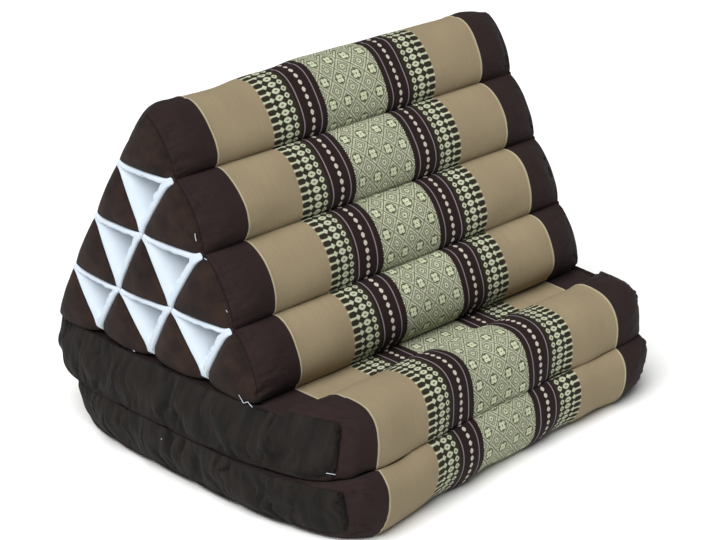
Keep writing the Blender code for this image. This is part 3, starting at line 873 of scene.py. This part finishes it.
def panel_outline(cell, steps=26, end_steps=5, flare=0.17):
    """Shares of a white cell's corners round its panel, whose edges flare to blunt ends."""
    half = [corner_width(c)[0] / CELL_WIDTH for c in cell]
    short = [corner_width(c)[1] / CELL_HEIGHT for c in cell]
    outline = []
    for i in range(3):
        j, k = (i + 1) % 3, (i + 2) % 3
        for t in np.linspace(0, 1, steps):
            here = (short[i] / 2 - half[i]) * max(0.0, 1 - t / flare) ** 2
            there = (short[j] / 2 - half[j]) * max(0.0, 1 - (1 - t) / flare) ** 2
            shares = np.zeros(3)
            shares[k] = here + there
            first, last = short[i] / 2 + half[i], 1 - short[j]
            shares[j] = first + (last - first) * t
            shares[i] = 1 - shares[j] - shares[k]
            outline.append(shares)
        end = outline[-1]
        start = np.zeros(3)
        start[j] = 1 - short[j]
        start[k], start[i] = short[j] / 2 + half[j], short[j] / 2 - half[j]
        for t in np.linspace(0, 1, end_steps + 1)[1:-1]:
            outline.append(end * (1 - t) + start * t)
    return np.array(outline)


def panel_height(shares, inside, panel, seed):
    """Height of a white panel over its seams: rounded lips round a dished floor."""
    lips = np.array([panel.front_lip, panel.back_lip, panel.top_lip])
    wobble = 1 + LIP_WOBBLE[0] * waves((shares[..., 1] * CELL_WIDTH,
                                        shares[..., 2] * CELL_HEIGHT), LIP_WOBBLE[1], seed)
    walls = np.array([panel.front_wall, panel.back_wall, panel.top_wall])
    gaps = (shares * CELL_HEIGHT - lips * wobble[..., None]) / walls
    dip = smooth(gaps.min(axis=-1))
    edge = np.clip(inside / LIP_ROUND, 0, 1)
    lip = np.sqrt(1 - (1 - edge) ** 2)
    tip = np.clip((shares[..., 2] - 0.62) / 0.3, 0, 1)
    pleat = waves(((shares[..., 0] - shares[..., 1]) / (1.08 - shares[..., 2]),), 0.55, seed + 3)
    height = panel.lip_rise * lip * (1 - dip) - panel.depth * dip
    return height + PLEAT * pleat * tip * edge


def panel_form(cell, side, seed, panel):
    """One white panel, a thin sheet: vertices, faces, coordinates and the painted shade of each
    point.
    """
    outline = panel_outline(cell)
    count = len(outline)
    centre = np.full(3, 1 / 3)
    gaps = np.concatenate([np.linspace(*run) for run in DISH_RINGS])
    rings = 1 - gaps / (CELL_HEIGHT / 3)
    shares = centre + (outline - centre)[None] * rings[:, None, None]
    inside = np.repeat(gaps[:, None], count, axis=1)
    shares = np.concatenate([shares.reshape(-1, 3), centre[None]])
    inside = np.append(inside.reshape(-1), CELL_HEIGHT / 3)
    even = shares @ np.array([crossing(*c, False) for c in cell])
    flat = shares @ np.array([crossing(*c, True) for c in cell])
    flat[:, 1] = np.maximum(flat[:, 1], WEDGE_FLAT_Z + 0.0006)
    rise = panel_height(shares, inside, panel, seed)
    # Painted shade: the deeper a point lies in the dish the darker it is, and up to twice as dark
    # towards the top-front corner, where the lips would cast shadow.
    dip = np.clip(1 - (rise + panel.depth) / (panel.lip_rise + panel.depth), 0, 1)
    dim = smooth(dip / 0.8) * (1 + smooth((shares[:, 1] - 0.22) / 0.62))
    height = end_crown(even) + rise
    sheets = []
    for over in (GAP + panel.cloth, GAP):
        x = end_x(side, height + over, flat[:, 1])
        sheets.append(np.column_stack([x, flat]))
    total = len(flat)
    faces = []
    around = [(c, (c + 1) % count) for c in range(count)]
    for r in range(len(rings) - 1):
        near, far = r * count, (r + 1) * count
        faces += [(near + c, near + d, far + d, far + c) for c, d in around]
    last = (len(rings) - 1) * count
    faces += [(last + c, last + d, total - 1) for c, d in around]
    faces += [tuple(total + v for v in reversed(face)) for face in faces]
    faces += [(d, c, total + c, total + d) for c, d in around]
    vertices = np.concatenate(sheets)
    coords = [tuple(vertices[v][1:]) for face in faces for v in face]
    return vertices, faces, coords, np.tile(dim, 2)


# Threads


def tube(points, radius, sides=6):
    """Vertices and faces of a thin closed tube along points."""
    points = np.array(points, float)
    vertices = []
    faces = []
    for i, point in enumerate(points):
        ahead = points[min(i + 1, len(points) - 1)] - points[max(i - 1, 0)]
        ahead /= np.linalg.norm(ahead)
        across = np.cross(ahead, (0.31, 0.52, 0.79))
        across /= np.linalg.norm(across)
        up = np.cross(ahead, across)
        for s in range(sides):
            turn = 2 * math.pi * s / sides
            vertices.append(point + radius * (math.cos(turn) * across + math.sin(turn) * up))
    for i in range(len(points) - 1):
        for s in range(sides):
            t = (s + 1) % sides
            faces.append((i * sides + s, i * sides + t, (i + 1) * sides + t, (i + 1) * sides + s))
    faces.append(tuple(reversed(range(sides))))
    faces.append(tuple(range((len(points) - 1) * sides, len(points) * sides)))
    return vertices, faces


def joined(parts):
    """Several meshes as one: vertices, faces and coordinates from Y and Z."""
    vertices = []
    faces = []
    for part_vertices, part_faces in parts:
        base = len(vertices)
        vertices += [tuple(v) for v in part_vertices]
        faces += [tuple(base + i for i in face) for face in part_faces]
    coords = [(vertices[v][1], vertices[v][2]) for face in faces for v in face]
    return np.array(vertices), faces, coords


def dome(centre, side, half, rings=6, sides=14):
    """Vertices and faces of a small puffed knot on an end, half across and half as high."""
    vertices = []
    faces = []
    for r in range(1, rings):
        turn = math.pi * r / rings
        for s in range(sides):
            round_it = 2 * math.pi * s / sides
            away = half * math.sin(turn)
            vertices.append((centre[0] + side * half * 0.5 * math.cos(turn),
                             centre[1] + away * math.cos(round_it),
                             centre[2] + away * math.sin(round_it)))
    for r in range(rings - 2):
        for s in range(sides):
            t = (s + 1) % sides
            faces.append((r * sides + s, (r + 1) * sides + s,
                          (r + 1) * sides + t, r * sides + t))
    for first, pole in ((0, 1), ((rings - 2) * sides, -1)):
        tip = len(vertices)
        vertices.append((centre[0] + side * pole * half * 0.5, centre[1], centre[2]))
        for s in range(sides):
            t = (s + 1) % sides
            faces.append((tip, first + s, first + t)[::pole])
    return vertices, faces


def knot(place, side, rise, half):
    """The knot that closes a seam crossing of an end."""
    y, z = crossing(*place, True)
    height = float(end_crown(crossing(*place, False))) + rise
    return dome((end_x(side, height, z), y, z), side, half)


def stray_thread(points):
    """A loose thread end, smoothed through its points."""
    points = np.array(points, float)
    stops = np.linspace(0, len(points) - 1, 8 * len(points))
    curve = np.stack([np.interp(stops, np.arange(len(points)), points[:, axis])
                      for axis in range(3)], axis=1)
    for _ in range(6):
        curve[1:-1] = (curve[:-2] + 2 * curve[1:-1] + curve[2:]) / 4
    return tube(curve, THREAD_RADIUS)


# Shaders


def operation(kind, turned=False):
    """A method of Term that puts it, and any others, through one Math node."""
    def method(self, *others):
        terms = (self, *others)[::-1] if turned else (self, *others)
        return self.math(kind, *terms)
    return method


class Term:
    """A shader socket that takes part in sums: values go through Math nodes."""

    def __init__(self, socket):
        self.socket = socket

    @classmethod
    def node(cls, tree, kind, settings=None, sockets=None, output=0):
        """A node of any kind. Settings are set first, then sockets, to values or terms."""
        made = tree.nodes.new(kind)
        for name, value in (settings or {}).items():
            setattr(made, name, value)
        for name, value in (sockets or {}).items():
            if isinstance(value, Term):
                tree.links.new(value.socket, made.inputs[name])
            else:
                made.inputs[name].default_value = value
        return cls(made.outputs[output])

    def math(self, kind, *terms, clamp=False):
        settings = {"operation": kind, "use_clamp": clamp}
        return self.node(self.socket.id_data, "ShaderNodeMath", settings, dict(enumerate(terms)))

    def output(self, name):
        return Term(self.socket.node.outputs[name])

    __add__ = operation("ADD")
    __radd__ = operation("ADD", turned=True)
    __sub__ = operation("SUBTRACT")
    __rsub__ = operation("SUBTRACT", turned=True)
    __mul__ = operation("MULTIPLY")
    __truediv__ = operation("DIVIDE")
    __pow__ = operation("POWER")
    __abs__ = operation("ABSOLUTE")
    __gt__ = operation("GREATER_THAN")
    __lt__ = operation("LESS_THAN")
    sin = operation("SINE")
    fract = operation("FRACT")
    snapped = operation("SNAP")
    either = operation("MAXIMUM")

    def clamped(self):
        return self.math("ADD", self, 0.0, clamp=True)

    def within(self, soft):
        """1 where this is under 1, falling to 0 over soft."""
        return self.math("MULTIPLY", 1 - self, 1 / soft, clamp=True)

    def mixed(self, low, high):
        """A colour: low where this mask is 0 and high where it is 1."""
        return self.node(self.socket.id_data, "ShaderNodeMix", {"data_type": "RGBA"},
                         {0: self, 6: flat_colour(low), 7: flat_colour(high)}, output=2)

    def shaded(self, amount):
        """This colour, multiplied by a value."""
        grey = self.node(self.socket.id_data, "ShaderNodeCombineColor", None,
                         {0: amount, 1: amount, 2: amount})
        return self.node(self.socket.id_data, "ShaderNodeMix",
                         {"data_type": "RGBA", "blend_type": "MULTIPLY"},
                         {0: 1.0, 6: self, 7: grey}, output=2)


def flat_colour(value):
    return value if isinstance(value, Term) else (*value, 1.0)


def lozenge(across, along, long, wide, power=1.0):
    """A field under 1 inside a lozenge, which a higher power makes rounder."""
    return (abs(across) / long) ** power + (abs(along) / wide) ** power


def new_cloth(name, sheen):
    """A material with a Principled shader, and the terms of its cloth coordinates."""
    made = bpy.data.materials.new(name)
    made.use_nodes = True
    tree = made.node_tree
    shader = tree.nodes["Principled BSDF"]
    shader.inputs["Sheen Weight"].default_value = sheen
    shader.inputs["Sheen Roughness"].default_value = SHEEN_ROUGHNESS
    shader.inputs["Specular IOR Level"].default_value = SPECULAR
    place = Term.node(tree, "ShaderNodeUVMap", {"uv_map": COORDS})
    split = Term.node(tree, "ShaderNodeSeparateXYZ", None, {0: place})
    return made, shader, place, split, split.output("Y")


def finish_cloth(shader, colour_term, roughness, height, depth):
    """Links a cloth's colour, roughness and relief to its shader."""
    tree = shader.id_data
    bump = Term.node(tree, "ShaderNodeBump", None,
                     {"Strength": 0.6, "Distance": depth, "Height": height})
    for name, term in (("Base Color", colour_term), ("Roughness", roughness), ("Normal", bump)):
        tree.links.new(term.socket, shader.inputs[name])


def noise(place, scale, detail=2.0, stretch=(1.0, 1.0)):
    """A value from 0 to 1 that varies over the cloth, scale times to a metre."""
    tree = place.socket.id_data
    spread = Term.node(tree, "ShaderNodeVectorMath", {"operation": "MULTIPLY"},
                       {0: place, 1: (scale * stretch[0], scale * stretch[1], scale)})
    return Term.node(tree, "ShaderNodeTexNoise", {"noise_dimensions": "2D"},
                     {"Vector": spread, "Scale": 1.0, "Detail": detail, "Roughness": 0.6})


def weave(across, along, thread):
    """Height of a plain weave: threads that pass over and under each other."""
    turn = 2 * math.pi / thread
    return (across * turn).sin() * (along * turn).sin()


def flower_field(across, along, bands, pick):
    """Masks of the green panel: pale flowers, and dark lattice and dashes."""
    tall = bands.row * bands.flower_rows
    wide = bands.flower_pitch
    du = ((across / wide).fract() - 0.5) * wide
    dv = ((along / tall).fract() - 0.5) * tall
    eu = ((across / wide + 0.5).fract() - 0.5) * wide
    ev = ((along / tall + 0.5).fract() - 0.5) * tall
    lobe_u, lobe_v = abs(du) - 0.0022, abs(dv) - 0.0023
    lobes = lozenge(lobe_u, lobe_v, 0.0023, 0.0023, 2.6).within(0.25)
    heart = lozenge(du, dv, 0.0010, 0.0010, 2.0).within(0.4)
    middle = lozenge(du, dv, 0.0030, 0.0030, 1.2).within(0.3)
    big = lobes.either(middle) * (1 - heart)
    big_edge = lozenge(du, dv, 0.0061, 0.0064, 3.2).within(0.2)
    ring = lozenge(eu, ev, 0.0033, 0.0035, 1.6).within(0.3)
    eye = lozenge(eu, ev, 0.0015, 0.0015, 1.6).within(0.4)
    small_edge = lozenge(eu, ev, 0.0050, 0.0053, 1.3).within(0.2)
    flowers = big.either(ring * (1 - eye) * 0.8)
    strand = abs(abs(du) / wide + abs(dv) / tall - 0.5)
    steps = abs((strand / 0.19).fract() - 0.5) * 2
    lattice = ((steps - 0.62) * 5.0).clamped() * (strand < 0.29)
    ribs = ((across / 0.0026).fract() > 0.66) * 0.16
    dashes = (((across - along * 0.5) / 0.0031).fract() > 0.66) * (strand < 0.05) * 0.5
    dark = (lattice * (0.45 + pick)).either(dashes).either(ribs)
    dark = dark * (1 - big_edge) * (1 - small_edge)
    dark = dark.either(big_edge * (1 - big) * 0.95).either(small_edge * (1 - ring) * 0.8)
    dark = dark.either(ring * eye * 0.8).either(heart * big_edge * 0.8)
    return flowers.clamped(), dark.clamped()


def motif_band(across, along, bands):
    """Masks of the motif band: pale threads, and dark spots beside the plain cloth."""
    row = along / bands.row
    dv = (row.fract() - 0.5) * bands.row
    ev = ((row + 0.5).fract() - 0.5) * bands.row
    small = lozenge(across - bands.rings, dv, 0.0036, 0.0036, 1.4).within(0.25)
    small_hole = lozenge(across - bands.rings, dv, 0.0014, 0.0013, 1.6).within(0.5)
    large_u = (across - bands.eyes) / 0.0058
    large = (large_u * large_u + abs(dv) / 0.0038).within(0.22)
    large_hole = lozenge(across - bands.eyes, dv, 0.0022, 0.0010, 1.4).within(0.5)
    head = lozenge(across - bands.arrows, dv, 0.0041, 0.0036, 1.0).within(0.25)
    tail_gap = across - bands.arrows
    tail = (abs(dv) / (tail_gap * 0.02 + 0.0011)).within(0.3) * (tail_gap > 0.0)
    pale = (small * (1 - small_hole)).either(large * (1 - large_hole))
    pale = pale.either(head).either(tail)
    beside = lozenge(across - (bands.motif_edge - 0.0062), ev, 0.0060, 0.0034, 2.4)
    spots = beside.within(0.2).either(across < bands.motif_edge - 0.0085)
    return pale.clamped(), spots


def band_cloth(bands):
    """The woven cover: green panel, lines, lozenges, motifs, beige and brown, with piping."""
    made, shader, place, x, along = new_cloth("woven_bands", 0.03)
    across = abs(x)
    step_u, step_v = across.snapped(STITCH[0]), along.snapped(STITCH[1])
    mottle = noise(place, 55.0, 3.0)
    fine = noise(place, 900.0, 1.0)
    streak = noise(place, 420.0, 2.0, (1.0, 0.06))
    grain = noise(place, 620.0, 1.0)
    flowers, olive = flower_field(step_u, step_v, bands, grain)
    motifs, spots = motif_band(step_u, step_v, bands)

    scallop = abs((along / 0.0028).fract() - 0.5) * 0.0026
    in_green = across < scallop + (bands.green_edge - 0.0007)
    green = flowers.mixed(olive.mixed(bands.green, bands.olive), bands.flower)
    green = green.shaded(0.40 + grain * 1.2)

    row_v = ((step_v / bands.row).fract() - 0.5) * bands.row
    dots = lozenge(step_u - bands.dots, row_v, 0.0026, 0.0032, 1.6).within(0.3)
    dot_hole = lozenge(step_u - bands.dots, row_v, 0.0007, 0.0007, 1.5).within(0.5)
    inner = (abs(across - bands.inner_line) / (bands.line_width / 2)).within(0.4)
    outer = (abs(across - bands.outer_line) / (bands.line_width / 2)).within(0.4)
    lines = inner.either(outer)
    in_motif = (across > bands.rings - 0.0062) * (across < bands.motif_edge)
    pale = motifs * in_motif

    ground = in_motif.mixed(bands.dark, bands.shade)
    dark = lines.mixed(ground, bands.line)
    dark = (dots * (1 - dot_hole * 0.5)).mixed(dark, bands.dot)
    plain = mottle.mixed(bands.beige, tuple(c * 0.86 for c in bands.beige))
    past_motif = (across > bands.motif_edge - 0.0085) * (1 - spots)
    woven = past_motif.mixed(dark, plain)
    woven = pale.mixed(woven, bands.motif)
    woven = in_green.mixed(woven, green)
    to_pipe = across - bands.piping
    beige = (across > bands.motif_edge).mixed(woven, plain)
    brown = (to_pipe > 0.0).mixed(beige, bands.brown)
    pipe = (abs(to_pipe) / bands.line_width / 0.85).within(0.3)
    seam = ((across - HALF_LENGTH + 0.0022) * 900.0).clamped()
    cloth = pipe.mixed(brown, bands.pipe).shaded(1 - seam * 0.4)
    tone = 0.72 + mottle * 0.20 + fine * 0.24 + streak * 0.14
    cloth = cloth.shaded(tone)

    threads = weave(across, along, WOVEN_THREAD)
    raised = pale.either(dots).either(flowers * in_green)
    drawn = noise(place, 95.0, 2.0, (0.45, 1.0)) * (to_pipe * 40.0).clamped()
    height = threads * 0.12 + raised * 0.8 + lines * 1.2 + fine * 0.5 + drawn * 9.0
    roughness = 0.88 - raised * 0.16 - lines * 0.2
    finish_cloth(shader, cloth, roughness, height, 0.00045)
    return made


def end_cloth(name, tone, folded=False):
    """Dark cotton of the ends: a dull weave, lighter in patches where its dye has gone, with small
    upright folds or none; with the folds, upright streaks of painted highlight.
    """
    made, shader, place, across, along = new_cloth(name, 0.03)
    mottle = noise(place, 38.0, 4.0)
    fine = noise(place, 1100.0, 1.0)
    lighter_tint = (1.30, 1.16, 1.06) if folded else (1.60, 1.30, 1.12)
    warm = tuple(c * k for c, k in zip(tone, lighter_tint))
    dull = tuple(c * k for c, k in zip(tone, (0.66, 0.68, 0.70)))
    # On the mats' folded ends the tone runs in upright streaks about as far apart as the folds:
    # painted highlights of the folds over the patchy tone.
    streaks = noise(place, 60.0, 3.0, (1.0, 0.3)) if folded else mottle
    fade_and_fold_highlight = (streaks * 2.4 - 0.7).clamped()
    cloth = fade_and_fold_highlight.mixed(dull, warm).shaded(0.82 + fine * 0.36)
    height = weave(across, along, 0.0012) * 0.5 + fine * 0.8 + mottle
    if folded:
        height += noise(place, 95.0, 2.0, (1.0, 0.16)) * 9.0
    finish_cloth(shader, cloth, 0.86 + fine * 0.1, height, 0.0004)
    return made


def white_cloth(panel):
    """Bleached cotton of the end panels, with painted shade down in their dishes and in their
    top-front corners.
    """
    made, shader, place, across, along = new_cloth("bleached_cotton", 0.05)
    mottle = noise(place, 60.0, 3.0)
    fine = noise(place, 1000.0, 1.0)
    grey = tuple(c * k for c, k in zip(panel.white, (0.93, 0.96, 0.98)))
    depth = Term.node(made.node_tree, "ShaderNodeAttribute", {"attribute_name": DISH_SHADE}, None, 2)
    # Painted shade from that attribute: the lips are brightest, the dish floor darker and its
    # top-front corner darker still.
    painted_dish_shade = depth.clamped() * 0.24 + (depth - 1.0).clamped() * 0.40
    cloth = mottle.mixed(panel.white, grey).shaded((1.10 - painted_dish_shade) * (0.96 + fine * 0.08))
    height = weave(across, along, 0.0010) * 0.5 + fine * 0.6 + mottle * 1.5
    finish_cloth(shader, cloth, 0.80 + fine * 0.1, height, 0.0003)
    return made


def thread_cloth(name, tone):
    """Spun thread: fine twisted fibres."""
    made, shader, place, across, along = new_cloth(name, 0.3)
    fine = noise(place, 2500.0, 1.0)
    pale = tuple(min(1.0, c * 1.08) for c in tone)
    cloth = fine.mixed(tone, pale)
    twist = ((across + along) * 9000.0).sin()
    finish_cloth(shader, cloth, 0.7 + fine * 0.1, twist, 0.0001)
    return made


# Meshes


def add_mesh(name, vertices, faces, coords, lifts=None, settle=None):
    """A smooth object from points and faces, its points first lifted along their normals."""
    mesh = bpy.data.meshes.new(name)
    mesh.from_pydata([tuple(v) for v in vertices], [], faces)
    layer = mesh.uv_layers.new(name=COORDS)
    layer.data.foreach_set("uv", np.array(coords, np.float32).ravel())
    if volume_of(vertices, faces) < 0:
        mesh.flip_normals()
    if lifts is not None:
        normals = np.zeros(len(vertices) * 3, np.float32)
        mesh.vertex_normals.foreach_get("vector", normals)
        points = np.array(vertices) + normals.reshape(-1, 3) * np.array(lifts)[:, None]
        if settle is not None:
            settle(points)
        mesh.vertices.foreach_set("co", points.astype(np.float32).ravel())
    mesh.validate()
    mesh.update()
    mesh.shade_smooth()
    made = bpy.data.objects.new(name, mesh)
    bpy.context.scene.collection.objects.link(made)
    return made


def volume_of(vertices, faces):
    """Signed volume of a closed mesh, which is negative when its faces point in."""
    total = 0.0
    points = np.array(vertices)
    for corner in range(1, 3):
        picked = [f for f in faces if len(f) > corner + 1]
        a = points[[f[0] for f in picked]]
        b = points[[f[corner] for f in picked]]
        c = points[[f[corner + 1] for f in picked]]
        total += float(np.einsum("ij,ij->i", a, np.cross(b, c)).sum()) / 6
    return total


def dress(piece, materials, woven, nodes):
    """Gives a cover its materials and body, and hides the nodes that it stands for."""
    for made in materials:
        piece.data.materials.append(made)
    kinds = np.ones(len(piece.data.polygons), np.int32)
    kinds[:woven] = 0
    if len(materials) > 1:
        piece.data.polygons.foreach_set("material_index", kinds)
    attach(piece, BODY)
    if nodes:
        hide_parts(*nodes)


def shared_material(name, build, *settings):
    return bpy.data.materials.get(name) or build(*settings)


def cover_cloths(scene, name, tone, folded=False):
    """The two materials of a filled cover: its woven bands and the cotton of its ends."""
    return (shared_material("woven_bands", band_cloth, scene.cushion_bands),
            shared_material(name, end_cloth, name, tone, folded))


class CUSHION_OT_stage(bpy.types.Operator):
    """Adds the camera, the soft lamp and the pale floor"""

    bl_idname = "cushion.stage"
    bl_label = "Stage"

    def execute(self, context):
        scene = context.scene
        stage = scene.cushion_stage
        camera = bpy.data.objects.new("camera", bpy.data.cameras.new("camera"))
        scene.collection.objects.link(camera)
        camera.data.sensor_width = SENSOR_WIDTH
        camera.data.lens = CAMERA_LENS
        tilt = Euler((math.radians(CAMERA_TILT), 0.0, math.radians(CAMERA_TURN)))
        turn = tilt.to_matrix().to_4x4() @ Matrix.Rotation(math.radians(CAMERA_ROLL), 4, "Z")
        camera.matrix_world = Matrix.Translation(CAMERA_PLACE) @ turn
        scene.camera = camera
        self.add_lamp(scene, stage)
        world = bpy.data.worlds.new("sky")
        world.use_nodes = True
        sky = world.node_tree.nodes["Background"]
        sky.inputs["Color"].default_value = (1.0, 1.0, 1.0, 1.0)
        sky.inputs["Strength"].default_value = stage.sky
        scene.world = world
        scene.view_settings.view_transform = "Standard"
        self.add_floor(scene, stage)
        return {"FINISHED"}

    def add_lamp(self, scene, stage):
        lamp = bpy.data.lights.new("key_lamp", "SUN")
        lamp.energy = stage.key
        lamp.angle = stage.key_size
        made = bpy.data.objects.new("key_lamp", lamp)
        made.location = KEY_PLACE
        made.rotation_euler = made.location.to_track_quat("Z", "Y").to_euler()
        scene.collection.objects.link(made)

    def add_floor(self, scene, stage):
        corners = [(FLOOR_REACH * x, FLOOR_REACH * y, 0)
                   for x, y in ((-1, -1), (1, -1), (1, 1), (-1, 1))]
        mesh = bpy.data.meshes.new("floor")
        mesh.from_pydata(corners, [], [(0, 1, 2, 3)])
        floor = bpy.data.objects.new("floor", mesh)
        made = bpy.data.materials.new("floor")
        made.use_nodes = True
        shader = made.node_tree.nodes["Principled BSDF"]
        shader.inputs["Base Color"].default_value = (*stage.floor, 1.0)
        shader.inputs["Roughness"].default_value = 0.9
        mesh.materials.append(made)
        scene.collection.objects.link(floor)


class CUSHION_OT_wedge(bpy.types.Operator):
    """Builds the wedge's filled cover with its sewn rolls and brown ends"""

    bl_idname = "cushion.wedge"
    bl_label = "Wedge Cover"

    def execute(self, context):
        scene = context.scene
        cover, bands = scene.cushion_cover, scene.cushion_bands
        vertices, faces, coords, lifts, woven = wedge_form(cover, bands, scene.cushion_panel)
        piece = add_mesh("wedge_cover", vertices, faces, coords, lifts, settle_wedge)
        materials = cover_cloths(scene, "brown_cotton", cover.end_colour)
        dress(piece, materials, woven, ["wedge"])
        return {"FINISHED"}


class CUSHION_OT_mats(bpy.types.Operator):
    """Builds the covers of the two folded mats"""

    bl_idname = "cushion.mats"
    bl_label = "Mat Covers"

    def execute(self, context):
        scene = context.scene
        cover, bands = scene.cushion_cover, scene.cushion_bands
        for name in MATS:
            vertices, faces, coords, lifts, woven = mat_form(name, cover, bands)
            settle = functools.partial(settle_mat, name)
            piece = add_mesh(name + "_cover", vertices, faces, coords, lifts, settle)
            materials = cover_cloths(scene, "black_cotton", cover.mat_end_colour, True)
            dress(piece, materials, woven, [name])
        return {"FINISHED"}


class CUSHION_OT_seams(bpy.types.Operator):
    """Adds the raised upright seams at the front corners of the mats' end panels"""

    bl_idname = "cushion.seams"
    bl_label = "Corner Seams"

    def execute(self, context):
        scene = context.scene
        cover, bands = scene.cushion_cover, scene.cushion_bands
        parts = []
        for name in MATS:
            form = mat_form(name, cover, bands)
            for side in (-1, 1):
                parts += corner_seam(name, form, side, MAT_SEEDS[name] + side)
        made = shared_material("seam_cotton", end_cloth, "seam_cotton", cover.seam_colour)
        piece = add_mesh("corner_seams", *joined(parts))
        dress(piece, [made], len(piece.data.polygons), [])
        return {"FINISHED"}


class CUSHION_OT_panels(bpy.types.Operator):
    """Builds the white dished panels of both ends"""

    bl_idname = "cushion.panels"
    bl_label = "End Panels"

    def execute(self, context):
        scene = context.scene
        panel = scene.cushion_panel
        whites = [cell for cell, white in end_cells() if white]
        made = shared_material("bleached_cotton", white_cloth, panel)
        for side, word in ((-1, "left"), (1, "right")):
            for number, cell in enumerate(whites, start=1):
                seed = PANEL_SEED + 10 * number + side
                vertices, faces, coords, dim = panel_form(cell, side, seed, panel)
                name = f"end_panel_{word}_{number}"
                piece = add_mesh(f"white_{word}_{number}", vertices, faces, coords)
                layer = piece.data.attributes.new(DISH_SHADE, "FLOAT", "POINT")
                layer.data.foreach_set("value", dim.astype(np.float32))
                dress(piece, [made], len(faces), [name])
        return {"FINISHED"}


class CUSHION_OT_threads(bpy.types.Operator):
    """Adds the knots at the ends' seam crossings and the loose thread ends"""

    bl_idname = "cushion.threads"
    bl_label = "Threads"

    def execute(self, context):
        panel = context.scene.cushion_panel
        white = shared_material("white_thread", thread_cloth, "white_thread", panel.white)
        inner = [(side, place) for side in (-1, 1) for place in INNER_CROSSINGS]
        rise = panel.lip_rise + GAP
        parts = [knot(place, side, rise, END_KNOT) for side, place in inner]
        piece = add_mesh("end_knots", *joined(parts))
        dress(piece, [white], len(piece.data.polygons), [])
        brown = shared_material("brown_cotton", end_cloth, "brown_cotton",
                                context.scene.cushion_cover.end_colour)
        parts = [knot((row, row), side, 0.0, RIM_KNOT) for side in (-1, 1)
                 for row in range(1, ROWS)]
        piece = add_mesh("rim_knots", *joined(parts))
        dress(piece, [brown], len(piece.data.polygons), [])
        parts = [stray_thread(points) for points in LOOSE_THREADS]
        piece = add_mesh("loose_threads", *joined(parts))
        dress(piece, [white], len(piece.data.polygons), [])
        return {"FINISHED"}


class CUSHION_PT_panel(bpy.types.Panel):
    """Lists the cushion's pieces and settings"""

    bl_idname = "CUSHION_PT_panel"
    bl_label = "Thai Triangle Cushion"
    bl_space_type = "VIEW_3D"
    bl_region_type = "UI"
    bl_category = "Cushion"

    def draw(self, context):
        for operator in OPERATORS:
            self.layout.operator(operator.bl_idname)
        for name, group in SETTINGS.items():
            box = self.layout.box()
            box.label(text=group.__doc__)
            for field in group.__annotations__:
                box.prop(getattr(context.scene, name), field)


SETTINGS = {
    "cushion_bands": BandSettings,
    "cushion_cover": CoverSettings,
    "cushion_panel": PanelSettings,
    "cushion_stage": StageSettings,
}
OPERATORS = (CUSHION_OT_stage, CUSHION_OT_wedge, CUSHION_OT_mats, CUSHION_OT_seams,
             CUSHION_OT_panels, CUSHION_OT_threads)


def register():
    for group in SETTINGS.values():
        bpy.utils.register_class(group)
    for name, group in SETTINGS.items():
        setattr(bpy.types.Scene, name, PointerProperty(type=group))
    for made in (*OPERATORS, CUSHION_PT_panel):
        bpy.utils.register_class(made)


def unregister():
    for made in (CUSHION_PT_panel, *reversed(OPERATORS)):
        bpy.utils.unregister_class(made)
    for name in SETTINGS:
        delattr(bpy.types.Scene, name)
    for group in reversed(SETTINGS.values()):
        bpy.utils.unregister_class(group)


def main():
    register()
    bpy.ops.cushion.stage()
    bpy.ops.cushion.wedge()
    bpy.ops.cushion.mats()
    bpy.ops.cushion.seams()
    bpy.ops.cushion.panels()
    bpy.ops.cushion.threads()


if __name__ == "__main__":
    main()
